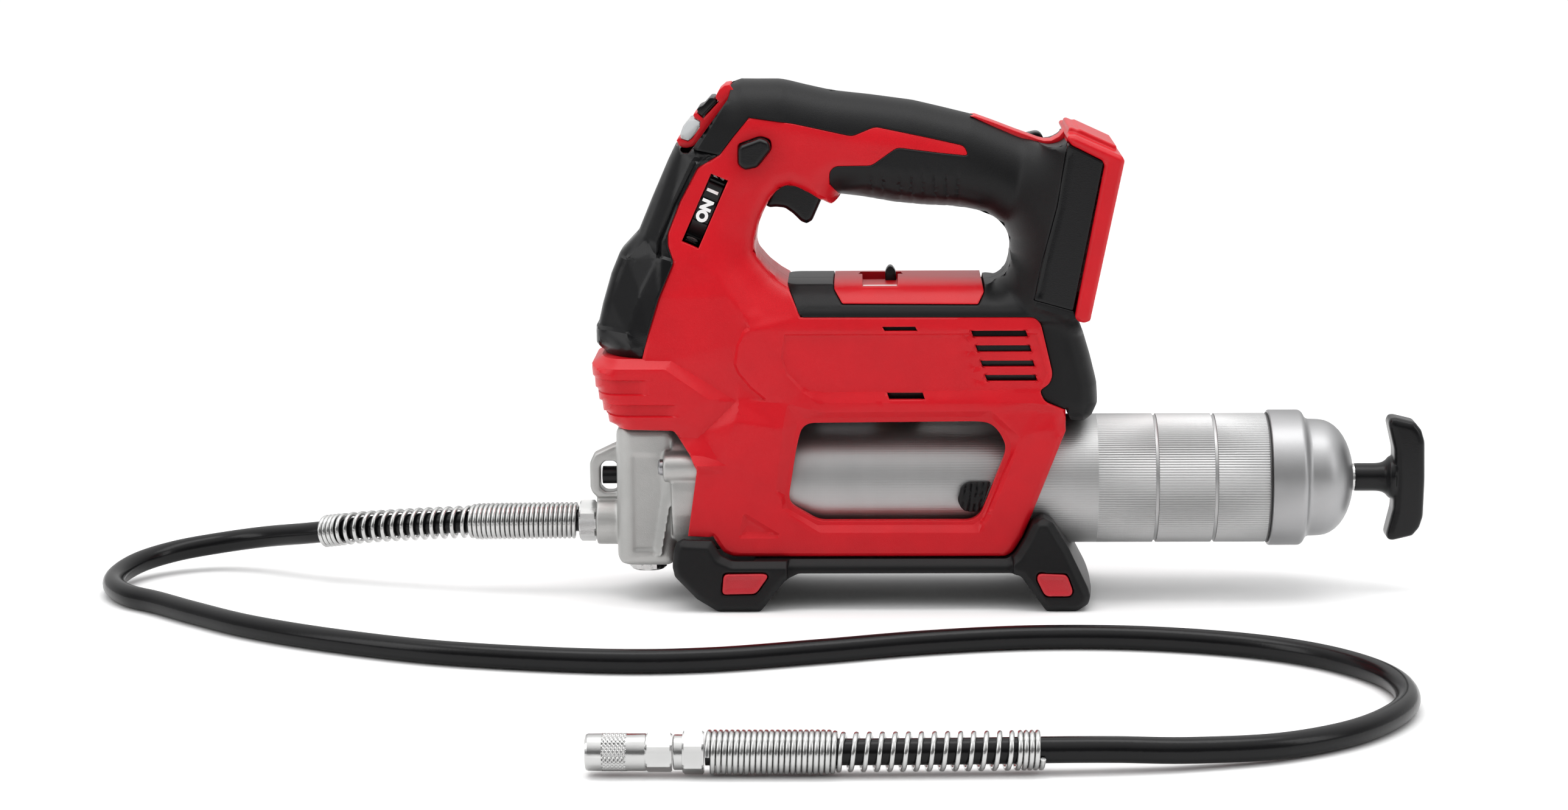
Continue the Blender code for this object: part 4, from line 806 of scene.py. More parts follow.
LOOP_EDGE = [(-10, 141.2), (-5.5, 141.9), (-1, 144.5), (1, 148.5), (1.6, 154), (1.3, 160), (-1.5, 166),
             (-9, 171), (-21, 173.5), (-36, 174.2), (-49, 175.5), (-63, 178)]
COVER_LINE = [(-95.8, 142), (-75.8, 142), (-75.6, 140), (-72, 134.2), (-13, 133.8), (-10.2, 138.8)]
WINDOW = [(-86.5, 82.5), (-13.5, 83), (-8, 82.3), (-4, 78.6), (-1.2, 73), (-1.2, 69), (-12, 41.8),
          (-16, 39), (-82.5, 39), (-94.2, 46), (-95.6, 49.5), (-92, 72), (-90, 80)]
DIAL_SLOT = [(-128.5, 190.3), (-121.2, 187.3), (-134.2, 158.2), (-141.4, 161.3)]
LOCK_HOLE = [(-116.8, 203), (-116.8, 194), (-113.6, 192), (-108.4, 193.2), (-102.2, 200.9), (-102.7, 204.9),
             (-107, 206.4)]
VENTS = [(-16.3, 8.3, 120.2, 123), (-14.3, 10.0, 113.6, 116.4), (-12.2, 11.4, 107.1, 109.7),
         (-10.2, 12.5, 100.8, 103.4), (-54.6, -39.4, 123.0, 124.8), (-52.6, -36.2, 93.0, 95.8)]
VENT_LEAN = 1.0
TRIANGLE = [(-115.3, 43.4), (-118, 31.6), (-96.4, 31.6)]

# Edges between the red side's facets: lines of (x, z, distance from the middle)
RED_LINES = [
    [(-124.8, 198.3, 21.0), (-134.3, 193, 21.2), (-142, 178.5, 22.4), (-147.5, 164.5, 24.0),
     (-147.5, 159.5, 24.6), (-145, 152.3, 26.0), (-151.5, 137, 27.6), (-156.5, 120.5, 28.8),
     (-158.8, 109.7, 29.4)],
    [(-122.5, 205.5, 20.4), (-112, 216, 19.6), (-92.5, 213, 19.3), (-60, 212, 19.2), (-17, 205, 19.0),
     (-12, 196, 19.0), (-48, 196, 19.2), (-70, 190, 19.2), (-70, 176, 19.2), (-76.5, 174, 19.2)],
    [(-129, 195.8, 21.2), (-118.8, 186.0, 22.3), (-125.8, 167.7, 24.4), (-130.4, 157.0, 26.2),
     (-141.7, 153.7, 26.2), (-145, 152.3, 26.0)],
    [(-117.6, 184.6, 21.4), (-121.3, 175, 22.6), (-124, 164.5, 24.0), (-125.4, 153, 26.6),
     (-123.3, 145.9, 28.4), (-119.9, 138, 30.2), (-113.6, 129.2, 32.0)],
    [(-108.5, 189, 20.6), (-113.6, 174, 21.4), (-116.6, 160, 22.4), (-116.3, 149.6, 24.0),
     (-111.1, 138.6, 27.2), (-105.5, 129.4, 31.6)],
    [(-78, 174.5, 19.2), (-88.5, 182.5, 19.6), (-99, 183.6, 20.2), (-107.5, 170.5, 21.2),
     (-110.2, 156, 22.4), (-102, 146, 25.2), (-95.8, 142, 27.6), (-90, 129.1, 33.2)],
    [(-113.6, 129.2, 32.0), (-105.5, 129.4, 31.6), (-90, 129.1, 33.2), (14, 129, 33.2)],
    [(-111.9, 123.6, 33.9), (14.2, 123.6, 33.9), (19, 104, 33.9), (18, 96.6, 33.6)],
    [(-113.2, 124.6, 31.9), (-115.2, 122.8, 31.9), (-118.0, 116.6, 31.9), (-119.2, 108.5, 31.9),
     (-117.6, 104.4, 31.9), (-112.3, 97.8, 31.9), (-106.0, 92.9, 32.2)],
    [(-111.9, 123.6, 33.9), (-114, 122.4, 33.9), (-116.8, 116.5, 33.8), (-117.9, 108.5, 33.7),
     (-116.5, 104.9, 33.6), (-111.3, 98.6, 33.5), (-105.1, 93.4, 33.4), (-95.9, 91.3, 33.8)],
    [(-97, 121.8, 33.9), (12.5, 121.8, 33.9), (17.2, 104, 33.9), (14.8, 97.2, 33.9)],
    [(-96.4, 121.1, 32.9), (11.9, 121.1, 32.9), (16.4, 104, 32.9), (13.8, 97.0, 32.9), (-79.6, 96.1, 32.7),
     (-88.4, 97.2, 32.7), (-95.4, 104.2, 32.8), (-97.9, 111.2, 32.9), (-96.4, 121.1, 32.9)],
    [(-97, 121.8, 33.9), (-98.8, 111.1, 33.9), (-96.2, 103.7, 33.8), (-89.2, 96.0, 33.7),
     (-82.3, 91.8, 34.6), (-51.8, 91.7, 34.9), (12, 91.3, 34.9), (17, 90.5, 34.8)],
    [(-158.8, 109.7, 29.4), (-146.3, 109.6, 30.0), (-118.1, 92.1, 31.6)],
    [(-190, 110.1, 29.2), (-158.8, 109.7, 29.4)],
    [(-190, 106.6, 33.0), (-174.5, 106.4, 33.0), (-149.1, 106.4, 33.4), (-129.7, 93.0, 34.0),
     (-132.9, 79.4, 33.0)],
    [(-190, 84.4, 33.2), (-143.6, 84.5, 33.6), (-134.6, 80.6, 33.2)],
    [(-190, 76, 30.5), (-146, 76, 30.8), (-135, 76, 32.4)],
    [(-118.1, 92.1, 31.6), (-132.6, 78.0, 32.2), (-133.4, 70.4, 34.4), (-141, 69.8, 34.6)],
    [(-141, 69.0, 34.8), (-133, 68.4, 34.8), (-126.3, 66.4, 34.9), (-122.6, 64.2, 35.1)],
    [(-141, 64.6, 38.4), (-133, 64.4, 37.6), (-122.6, 64.2, 35.1)],
    [(-141, 59.6, 34.6), (-123.6, 60.6, 34.9), (-122.6, 64.2, 35.1)],
    [(-141, 56, 34.2), (-141, 30, 33.8)],
    [(-118.1, 92.1, 31.6), (-117.2, 92.7, 32.4), (-95.9, 91.3, 33.8)],
    [(-118.4, 83.6, 35.6), (-121, 78.2, 35.6), (-121.5, 67.9, 35.5), (-122.2, 52, 34.8)],
    [(-118.4, 83.6, 35.6), (-98.0, 80.6, 35.6), (-101.2, 53.4, 35.4), (-98.5, 50, 35.2),
     (-98.6, 44.6, 35.0), (-82.1, 34.2, 34.9), (-12.8, 34.0, 34.9), (3.2, 71.5, 35.0), (4.8, 76.5, 35.0),
     (-7.4, 87.9, 34.9), (-81.7, 87.6, 34.8), (-95.9, 91.3, 33.8)],
    [(-95.9, 91.3, 33.8), (-98.0, 80.6, 35.6)],
    [(-7.4, 87.9, 34.9), (11.7, 88.0, 34.2), (22, 86.8, 33.4), (26, 86, 32.6)],
    [(4.8, 76.5, 35.0), (10, 78.5, 35.2), (24, 79.5, 34.6)],
    [(11.7, 88.0, 34.2), (10, 78.5, 35.2)],
    [(-89.6, 84.6, 32.4), (-13.3, 85.0, 32.4), (-6.6, 84.0, 32.4), (-1.8, 79.4, 32.4), (1.2, 73.4, 32.4),
     (0.9, 68.4, 32.4), (-10.4, 40.6, 32.4), (-15.2, 37.2, 32.6), (-83.2, 37.2, 32.6), (-96.0, 44.6, 32.6),
     (-97.6, 49.8, 32.6), (-93.8, 72, 32.6), (-91.8, 81.4, 32.4), (-89.6, 84.6, 32.4)],
    [(-141, 15, 33.6), (30, 15, 34.0), (32, 82, 33.6), (26, 92, 32.8), (26, 132, 32.8), (14, 129, 33.2)],
]
RED_FIELD = [(-190, 60, 31.0), (-190, 15, 31.0), (40, 15, 34.0), (40, 240, 19.0), (-60, 160, 26.0),
             (-190, 240, 18.0), (-30, 140, 33.0), (-50, 60, 32.4)]
GUARD_LINES = [
    [(-183, 122.9, 13.5), (-176.2, 122.9, 15.0), (-173.0, 134.6, 15.5), (-166.2, 152.2, 15.8)],
    [(-166.6, 153.4, 13.8), (-159.4, 163.6, 14.2), (-153.8, 177.4, 14.0), (-144.0, 202.0, 13.0)],
    [(-158.0, 162.2, 17.0), (-151.6, 177.0, 17.0), (-141.2, 200.2, 16.0)],
    [(-152.7, 155.2, 22.6), (-152.6, 161.0, 22.6), (-146.2, 177.0, 21.8), (-137.0, 195.8, 20.2)],
    [(-151.4, 155.2, 21.4), (-151.2, 161.0, 21.4), (-144.9, 176.6, 20.8), (-135.6, 195.0, 19.6)],
    [(-150.2, 155.2, 24.4), (-150.0, 161.2, 24.2), (-143.9, 176.2, 23.0), (-134.8, 194.4, 21.6)],
    [(-166.6, 153.4, 13.8), (-165.8, 152.9, 16.6), (-152.7, 155.2, 22.6), (-150.2, 155.2, 24.4),
     (-144.0, 153.4, 26.4)],
    [(-166.2, 152.2, 15.8), (-152.6, 153.9, 24.6), (-150.1, 153.9, 26.0), (-144.0, 152.2, 27.2)],
    [(-152.6, 153.9, 24.6), (-160, 138.6, 25.6), (-165.8, 122.9, 26.0)],
    [(-176.2, 122.9, 15.0), (-165.8, 122.9, 26.0), (-162.6, 119.4, 27.4)],
    [(-183, 121.4, 15.0), (-176.0, 121.4, 17.0), (-165.6, 121.2, 27.2), (-162.6, 119.4, 27.4)],
    [(-177.8, 114.5, 16.5), (-164, 114.5, 27.6), (-157.0, 115, 29.4)],
    [(-144.0, 152.2, 27.2), (-150.8, 137, 29.2), (-155.8, 120.5, 29.6), (-157.0, 115, 29.4),
     (-157.6, 108, 27.6)],
    [(-144.0, 153.4, 26.4), (-146.6, 159.5, 25.2), (-146.6, 164.5, 24.8), (-141.0, 178.5, 23.2),
     (-133.4, 193.6, 21.8), (-120, 202, 20.6)],
    [(-179, 108, 14.0), (-168, 108, 22.0), (-157.6, 108, 27.6)],
    [(-190, 105, 12), (-190, 160, 8), (-165, 210, 10), (-140, 215, 16), (-120, 202, 20.6)],
]
# Each sunk band on the shoulder: its low and high z, and the x over which it fades in
RIB_BANDS = ((95.0, 101.3, -155.5, -162.0), (85.4, 90.4, -142.6, -149.6))
RIB_DEPTH = 1.5
RIB_END = -143.6
VENT_DEPTH = 0.9
SOFT_ZONE = [(-131, 195), (-131, 150), (-116, 131), (-86, 131), (-86, 143), (-104, 186), (-70, 180),
             (-70, 213), (-128, 213)]
NOSE_Z = [108, 129, 150, 172, 195, 215]
NOSE_LEVEL = [31.0, 31.0, 26.5, 23.6, 21.0, 19.6]
HANDLE_LEVEL = 19.0
HANDLE_FLARE = 0.4
HANDLE_Z = 176.0
GRIP_FROM = -96.0
WALL = 2.4
WINDOW_WALL = 4.0       # the wall's thickness within WINDOW_RIM of the window
WINDOW_RIM = 2.5
TRIGGER_ROOM = 8.9      # half the gap for the trigger, behind and above TRIGGER_CORNER
TRIGGER_CORNER = (-107.5, 165.0)
SEAM = 0.15
BARREL_CLEAR = 29.4
CUP_CLEAR = 32.2
CUP_FRONT_X = -148.0
CUP_BACK_X = -111.0
BRIDGE_Z = [128.0, 131.0, 134.0, 138.0, 141.0, 142.5]
BRIDGE_LEVEL = [33.6, 32.8, 30.8, 26.8, 22.6, 20.6]


def facets(lines, field=()):
    """A height over the side view that is flat between lines of (x, z, height) points."""
    places, levels, edges = [], [], []
    for line in lines:
        for k, (x, z, level) in enumerate(line):
            places.append(Vector((x, z)))
            levels.append(level)
            if k:
                edges.append((len(places) - 2, len(places) - 1))
    for x, z, level in field:
        places.append(Vector((x, z)))
        levels.append(level)
    made = delaunay_2d_cdt(places, edges, [], 0, 1e-3)
    flat = np.array([tuple(v) for v in made[0]])
    known = np.array([np.mean([levels[i] for i in origin]) if origin else np.nan for origin in made[3]])
    for i in np.flatnonzero(np.isnan(known)):
        gaps = np.hypot(*(flat - flat[i]).T)
        gaps[np.isnan(known)] = np.inf
        nearest = np.argsort(gaps)[:2]
        known[i] = np.average(known[nearest], weights=1.0 / gaps[nearest])
    corners = [tuple(face) for face in made[2] if len(face) == 3]

    def height(p):
        out = np.full(len(p), np.nan)
        for a, b, c in corners:
            (ax, az), (bx, bz), (cx, cz) = flat[a], flat[b], flat[c]
            whole = (bz - cz) * (ax - cx) + (cx - bx) * (az - cz)
            if abs(whole) < 1e-9:
                continue
            u = ((bz - cz) * (p[:, 0] - cx) + (cx - bx) * (p[:, 1] - cz)) / whole
            v = ((cz - az) * (p[:, 0] - cx) + (ax - cx) * (p[:, 1] - cz)) / whole
            here = (u >= -1e-6) & (v >= -1e-6) & (u + v <= 1 + 1e-6)
            out[here] = (u * known[a] + v * known[b] + (1 - u - v) * known[c])[here]
        return np.where(np.isnan(out), np.nanmean(out), out)
    return height


def softened(height, p, radius):
    """The height averaged round each point, which rounds the edges between facets."""
    total = 2.0 * height(p)
    for k in range(8):
        angle = math.pi * k / 4
        shift = np.array([math.cos(angle), math.sin(angle)])
        total = total + height(p + shift * radius[:, None])
    return total / 10.0


RED_FACETS = facets(RED_LINES, RED_FIELD)
GUARD_FACETS = facets(GUARD_LINES)
LIGHT_STRIP = LIGHT_CREASE + LIGHT_EDGE[::-1]


def beside_barrel(p, radius):
    """How far from the middle plane a cylinder about the barrel's axis reaches."""
    return np.sqrt(np.maximum(radius ** 2 - (p[:, 1] - BARREL_Z) ** 2, 0.0))


def barrel_bay(p):
    """The least distance from the middle that a wall may have, beside the barrel and the pump's cup."""
    radius = np.where(p[:, 0] < CUP_BACK_X, CUP_CLEAR, BARREL_CLEAR)
    return beside_barrel(p, radius) * (p[:, 0] > CUP_FRONT_X)


def edge_falls(p):
    """How far the silhouette's rounding takes the side inwards at each point."""
    falls = [round_drop(distance_to(p, line, False), across, deep) for line, across, deep in (
        (HANDLE_FRONT + HANDLE_TOP[:-3], 21.0, 18.7),
        (HANDLE_TOP[-4:], 7.0, 9.0),
        (LOOP_EDGE[4:] + [(-72.5, 179.2)], 17.0, 18.7),
        (LOOP_EDGE[1:6], 9.0, 13.0),
        ([(-72.5, 179.2)] + ARCH[:2], 9.0, 9.0),
        (ARCH[1:], 6.0, 5.0),
        ([(-10, 141.2), (-4, 142.2)], 3.0, 3.0),
        ([(25, 87.6)] + REAR_EDGE, 3.5, 3.5),
        (REAR_EDGE[-1:] + BOTTOM_EDGE, 2.5, 2.5),
        (HEAD_LINE[1:], 1.2, 1.2),
        (SHOULDER_FRONT, 10.0, 16.0),
        (GUARD_FRONT, 4.0, 7.0),
        (BULGE_EDGE, 10.0, 15.0),
    )]
    beside_light = np.clip(distance_to(p, LIGHT_CREASE, False), 0.0, 4.0) * is_inside(p, LIGHT_STRIP)
    return np.maximum(np.max(falls, axis=0), 1.7 * beside_light)


def nose_level(p):
    """The side of the nose narrows upwards, and then runs into the slim handle."""
    by_height = np.interp(p[:, 1], NOSE_Z, NOSE_LEVEL)
    by_length = HANDLE_LEVEL + HANDLE_FLARE * np.maximum(GRIP_FROM - p[:, 0], 0.0)
    return np.where(p[:, 1] > HANDLE_Z, np.minimum(by_height, by_length), by_height)


def smooth_step(value, start, end):
    """0 before start and 1 past end, with a smooth rise between them."""
    share = np.clip((value - start) / (end - start), 0.0, 1.0)
    return share * share * (3.0 - 2.0 * share)


def vent_ramps(p):
    """How far the side falls away before and behind each of the rear vents."""
    x, z = p[:, 0], p[:, 1]
    fall = np.zeros(len(p))
    for x0, x1, z0, z1 in VENTS[:4]:
        beside = (z > z0 - 0.3) & (z < z1 + 0.3)
        for past, length in ((x0 + 1.0 - x, 7.0), (x - x1 + 1.0, 3.0)):
            depth = VENT_DEPTH * (1.0 - np.clip(past / length, 0.0, 1.0))
            fall += np.where(beside & (past > 0.0), depth, 0.0)
    return fall


def red_height(p):
    """The housing's side: soft near the tower and the handle, crisp elsewhere, with sunk bands."""
    x, z = p[:, 0], p[:, 1]
    softness = 0.45 + 3.4 * np.clip(depth_in(p, SOFT_ZONE) / 4.0, 0.0, 1.0)
    height = softened(RED_FACETS, p, softness)
    for low, high, start, end in RIB_BANDS:
        sunk = smooth_step(z, low - 0.1, low + 0.4) * smooth_step(z, high + 0.4, high - 0.1)
        height -= RIB_DEPTH * sunk * smooth_step(x, start, end)
    height -= np.clip(depth_in(p, TRIANGLE) * 0.55, 0.0, 1.4)
    return height - vent_ramps(p) - edge_falls(p)


RED_SILHOUETTES = [ARCH, [(25, 87.6)] + REAR_EDGE + BOTTOM_EDGE, HEAD_LINE[:1] + BOTTOM_EDGE[-1:],
                   SHOULDER_FRONT + [(-159, 110.3)]]


def red_back(p):
    """The inner face: a wall's thickness in, and out to the seam along the silhouette."""
    near = np.min([distance_to(p, line, False) for line in RED_SILHOUETTES], axis=0) < WALL
    inner = red_height(p) - np.where(distance_to(p, WINDOW) < WINDOW_RIM, WINDOW_WALL, WALL)
    by_trigger = (p[:, 0] > TRIGGER_CORNER[0]) & (p[:, 1] > TRIGGER_CORNER[1])
    inner = np.where(near, np.where(by_trigger, TRIGGER_ROOM, SEAM), inner)
    return np.maximum(inner, barrel_bay(p))


def black_height(p):
    """Rubber: the slim handle, which flares out to the battery mount, the bridge and the rear bulge."""
    slim = np.where(p[:, 0] < GRIP_FROM, nose_level(p), HANDLE_LEVEL) + 0.5
    flare = FLARE_LEVEL - outside(p, FLARE_ZONE)
    bridge = np.interp(p[:, 1], BRIDGE_Z, BRIDGE_LEVEL) - 1.8 * outside(p, BAND_ZONE)
    bulge = BULGE_LEVEL - 1.3 * outside(p, BULGE_ZONE)
    stack = np.stack([slim, flare, bridge, bulge]) - BULGE_LEVEL
    height = BLEND * np.log(np.exp(stack / BLEND).sum(0)) + BULGE_LEVEL
    for x in GRIP_GROOVES:
        line = [(x - 1.2, 192.0), (x + 0.2, 171.0)]
        height -= groove(distance_to(p, line, False), 0.8, 0.7) * smooth_step(p[:, 1], 193.0, 187.0)
    ridge = distance_to(p, GRIP_RIDGE, False)
    height += 0.9 * np.clip(1.0 - ridge / 3.2, 0.0, 1.0) * (p[:, 1] < 191.0)
    return height - edge_falls(p)


FLARE_LEVEL = 36.6
BULGE_LEVEL = 31.5
BLEND = 0.9             # over how many millimetres two levels run into each other
GRIP_GROOVES = (-58.5, -53.5, -46.0, -41.0, -36.0, -31.0, -26.0, -21.0)
GRIP_RIDGE = [(-74, 181), (-62, 184.5), (-49, 181.5), (-36, 179.2), (-22, 178.8), (-14, 176.5)]
FLARE_ZONE = [(25, 206), (45, 206), (45, 128), (27, 128), (11, 134), (14, 153.5), (20, 177)]
BAND_ZONE = [(-100, 143.5), (-88, 127), (20, 127), (15, 138), (0, 143.5)]
BULGE_ZONE = [(12, 132), (27, 129), (45, 120), (45, 75), (20, 75), (10, 96), (17, 104), (12, 128)]
BLACK_SILHOUETTES = [HANDLE_FRONT + HANDLE_TOP, LOOP_EDGE + [(-72.5, 179.2)], COVER_LINE[:2],
                     COVER_LINE[-1:] + LOOP_EDGE[:1], MOUNT_LOW + BULGE_EDGE]
GUARD_SILHOUETTES = [GUARD_FRONT, [(-176.4, 110.3), (-159, 110.3)]]
LIGHT_ROOM = 11.3       # half the gap for the work light, within LIGHT_REACH of its edge
LIGHT_REACH = 6.0


def skin_back(height, thickness, silhouettes):
    """The inner face of a skin: its thickness in, and out to the seam along the silhouette."""
    def back(p):
        near = np.min([distance_to(p, line, False) for line in silhouettes], axis=0) < thickness
        inner = np.where(near, SEAM, height(p) - thickness)
        by_light = distance_to(p, LIGHT_EDGE, False) < LIGHT_REACH
        return np.maximum(np.maximum(inner, np.where(by_light, LIGHT_ROOM, SEAM)), barrel_bay(p))
    return back


RED_OUTLINE = (rounded([(-159, 110.3)] + GUARD_LINE[1:], 1.5, False) + rounded(TONGUE_START, 1.5, False)
               + rounded(TONGUE_TOP + TONGUE_LOW[:-1], 2.0, False)
               + rounded(TONGUE_LOW[-1:] + ARCH, 4.0, False)
               + rounded(BAND_LINE, 2.0, False) + rounded(REAR_EDGE + BOTTOM_EDGE, 4.0, False)
               + rounded(HEAD_LINE + SHOULDER_FRONT, 1.0, False))
BLACK_OUTLINE = (rounded(TONGUE_START[::-1], 1.5, False) + [(-124.8, 198.3)]
                 + rounded(LIGHT_EDGE + HANDLE_FRONT, 1.0, False)
                 + rounded(HANDLE_TOP, 4.0, False) + rounded(PANEL_LINE, 1.0, False)
                 + rounded(MOUNT_LOW, 1.0, False) + rounded(BULGE_EDGE, 4.0, False)
                 + rounded(BAND_LINE, 2.0, False)[::-1] + rounded(COVER_LINE, 0.6, False)
                 + rounded(LOOP_EDGE, 5.0, False) + rounded(TONGUE_TOP + TONGUE_LOW, 2.0, False)[::-1])


def vent_loops():
    return [[(x0, z1), (x1 - VENT_LEAN, z1), (x1, z0), (x0 + VENT_LEAN, z0)] for x0, x1, z0, z1 in VENTS]


def drawn(lines):
    """Control lines without their heights, for the mesh to follow."""
    return [[(x, z) for x, z, _ in line] for line in lines]


# The two lines down the tower are rounded so widely that the mesh need not follow them
RED_CREASES = drawn(RED_LINES[:3] + RED_LINES[5:])
RED_CREASES += [TRIANGLE + TRIANGLE[:1]]
RED_CREASES += [[(-179, z + gap), (RIB_END + 1, z + gap)] for band in RIB_BANDS for z in band[:2]
                for gap in (-0.1, 0.4)]


def make_red_housing(side, name):
    holes = [rounded(WINDOW, 3.0), rounded(LOCK_HOLE, 1.5), *vent_loops()]
    if side < 0:
        holes.append(DIAL_SLOT)
    bm = relief(RED_OUTLINE, red_height, red_back, holes, RED_CREASES, edge=0.45, step=1.3, side=side)
    piece(f"housing_{name}", bm, RED, [f"{name}_housing"], angle=17.0)


def make_rubber(side, name):
    back = skin_back(black_height, 2.5, BLACK_SILHOUETTES)
    bm = relief(BLACK_OUTLINE, black_height, back, creases=[LIGHT_CREASE], edge=0.7, step=1.3, side=side)
    piece(f"overmould_{name}", bm, RUBBER, [f"{name}_overmould"], angle=24.0)


GUARD_OUTLINE = (rounded([(-124.8, 198.3)] + GUARD_LINE[:-1][::-1], 1.5, False)
                 + rounded(GUARD_FRONT, 1.5, False) + rounded(GUARD_TOP, 1.0, False) + [LIGHT_EDGE[0]])


def guard_height(p):
    return softened(GUARD_FACETS, p, np.full(len(p), 0.4)) - edge_falls(p)


def make_guard(side, name):
    back = skin_back(guard_height, 2.6, GUARD_SILHOUETTES)
    bm = relief(GUARD_OUTLINE, guard_height, back, creases=drawn(GUARD_LINES), edge=0.7, step=1.2,
                side=side)
    piece(f"nose_guard_{name}", bm, BLACK, ["nose_guard"], angle=17.0)


COVER_BASE = [(-75.4, 143.4), (-75.4, 140.1), (-71.8, 134.5), (-13.2, 134.1), (-10.5, 138.8), (-11.4, 143.2)]
COVER_Z = [134.0, 138.0, 140.2, 141.6, 142.6, 143.1, 143.4]
COVER_LEVEL = [31.1, 27.2, 24.2, 21.0, 16.5, 12.0, 7.0]
COVER_NOTCH = [(-47.8, 143.4), (-47.8, 141.0), (-63.2, 141.0), (-63.2, 143.4)]


def cover_height(p):
    return np.interp(p[:, 1], COVER_Z, COVER_LEVEL)


SLIDER_TAB = [(-53.2, 138.2), (-53.2, 145.2), (-51.8, 147.2), (-50.2, 147.2), (-48.6, 145.0), (-48.2, 138.2)]


def make_bridge_cover():
    """The near half is open to the speed slider; the far half keeps clear of it."""
    def far_back(p):
        return np.where((p[:, 0] > -65.0) & (p[:, 0] < -46.0), 7.2, 0.1)

    near = relief(rounded(COVER_BASE + COVER_NOTCH, 0.5), cover_height, level(0.1), edge=0.6, step=1.0)
    piece("bridge_cover_left", near, RED, ["selector_cover"])
    far = relief(rounded(COVER_BASE, 0.5), cover_height, far_back, edge=0.6, step=1.0, side=1)
    piece("bridge_cover_right", far, RED, ["selector_cover"])
    scale = merged(block((-62.9, -20.6, 140.4), (-48.1, -18.8, 141.2), 0.2),
                   block((-62.9, 6.4, 137.0), (-48.1, 7.1, 139.2), 0.2))
    piece("selector_window", scale, WHITE)
    tab = extruded(rounded(SLIDER_TAB, 1.2), -3.6, 3.6, 0.6)
    plate = block((-58.3, -5.6, 137.3), (-43.7, 5.6, 138.6), 0.25)
    piece("speed_slider_tab", merged(tab, plate), BLACK, ["speed_selector"], "speed_slider")


def make_vent_shade_sheet(side, name):
    """Black sheets a little way inside the vents: painted shade, standing in for the shade within them."""
    low, high = sorted((side * 28.6, side * 29.8))
    rear = block((-18.5, low, 97.5), (12.0, high, 125.5), 0.4)
    small = block((-57.5, low, 91.5), (-34.0, high, 126.5), 0.4)
    # painted shade: these black sheets darken the vents in place of the shade inside them
    piece(f"vent_screen_{name}", merged(rear, small), BLACK)


def make_shells():
    for make in (make_red_housing, make_rubber, make_guard):
        for side, name in SIDES:
            make(side, name)
    make_bridge_cover()
    # black sheets inside the vents, as painted shade
    for side, name in SIDES:
        make_vent_shade_sheet(side, name)


# ---------------------------------------------------------------- battery mount

PANEL_OUTLINE = rounded([(25, 204)] + PANEL_LINE + [(27.6, 131.8), (40.3, 196.2)], 1.0)
TONGUE_PLATE = [(24.6, 203.0), (25.4, 206.4), (25.9, 209.6), (27.0, 210.0), (29.6, 208.8), (30.6, 209.1),
                (46.6, 201.7), (46.0, 196.6), (30.0, 200.6)]
TOP_LINE = [(-16, 213.4), (-14, 213.5), (-6, 210.6), (3, 207.1), (9, 204.9), (13.5, 203.2), (16.2, 202.5),
            (19.2, 202.6), (22.6, 204.4), (25.0, 207.2), (26.2, 205.8), (25.4, 202.4), (20.0, 200.0),
            (14.0, 200.2), (3.0, 204.6), (-6, 208.6)]
STRAP_LUG = [(3.0, 199.0), (9.0, 203.2), (13.6, 204.2), (15.6, 203.6), (17.0, 201.4), (18.4, 196.0),
             (9.0, 194.0)]
PANEL_LEVEL = 36.4
PANEL_GROOVE = [(25.6, 200), (21.8, 177), (16, 153.5), (13, 139)]


def panel_height(p):
    """The mount's side: a flat panel with a groove along its front."""
    return PANEL_LEVEL - groove(distance_to(p, PANEL_GROOVE, False), 1.1, 0.5)


def make_battery_mount():
    for side, name in SIDES:
        panel = relief(PANEL_OUTLINE, panel_height, level(SEAM), edge=0.7, side=side)
        piece(f"mount_panel_{name}", panel, BLACK)
    tongue = extruded(TONGUE_PLATE, -24.0, 24.0, 0.5)
    moulded("battery_rail_frame", merged(from_node("battery_rails"), tongue), RED, ["battery_rails"],
            voxel=0.55, smoothing=2)
    piece("handle_top_line", extruded(TOP_LINE, -7.0, 7.0, 0.4), RED)
    piece("strap_lug", extruded(rounded(STRAP_LUG, 1.5), 17.0, 26.0, 0.9), BLACK)
    moulded("terminal_holder", from_node("terminal_block"), BLACK, ["terminal_block"], voxel=0.35,
            smoothing=2)


# ---------------------------------------------------------------- barrel, cap and follower

BARREL_RADIUS = 28.6
KNURL_TEETH = 156
KNURL_DEPTH = 0.26
KNURLS = ((39.9, 64.7), (66.3, 90.5), (92.1, 114.4))
RING_GROOVES = (65.5, 91.3)


def barrel_ripple(x, angle):
    """Fine ridges along each knurled band."""
    if not any(a < x < b for a, b in KNURLS):
        return 0.0
    return -KNURL_DEPTH * (0.5 - 0.5 * math.cos(KNURL_TEETH * angle))


def make_barrel():
    r = BARREL_RADIUS
    profile = [(-122, r - 1.6), (-122, r - 0.3), (-121.7, r), (39.7, r), (39.91, r)]
    for ring in RING_GROOVES:
        profile += [(ring - 0.9, r), (ring - 0.81, r), (ring - 0.6, r - 0.75), (ring - 0.3, r - 0.85),
                    (ring + 0.3, r - 0.85), (ring + 0.6, r - 0.75), (ring + 0.81, r)]
    profile += [(114.39, r), (114.6, r - 0.3), (115.3, r - 0.5), (115.3, r - 1.6), (-122, r - 1.6)]
    bm = spun(profile, BARREL_Z, steps=4 * KNURL_TEETH, ripple=barrel_ripple)
    piece("barrel_sleeve", bm, ALUMINIUM, ["barrel_tube"], "barrel", angle=35.0)


def arc(centre, radius, start, end, steps):
    """Points (x, radius) along a round in a turned profile, angles in degrees."""
    out = []
    for i in range(steps + 1):
        a = math.radians(start + (end - start) * i / steps)
        out.append((centre[0] + radius * math.cos(a), centre[1] + radius * math.sin(a)))
    return out


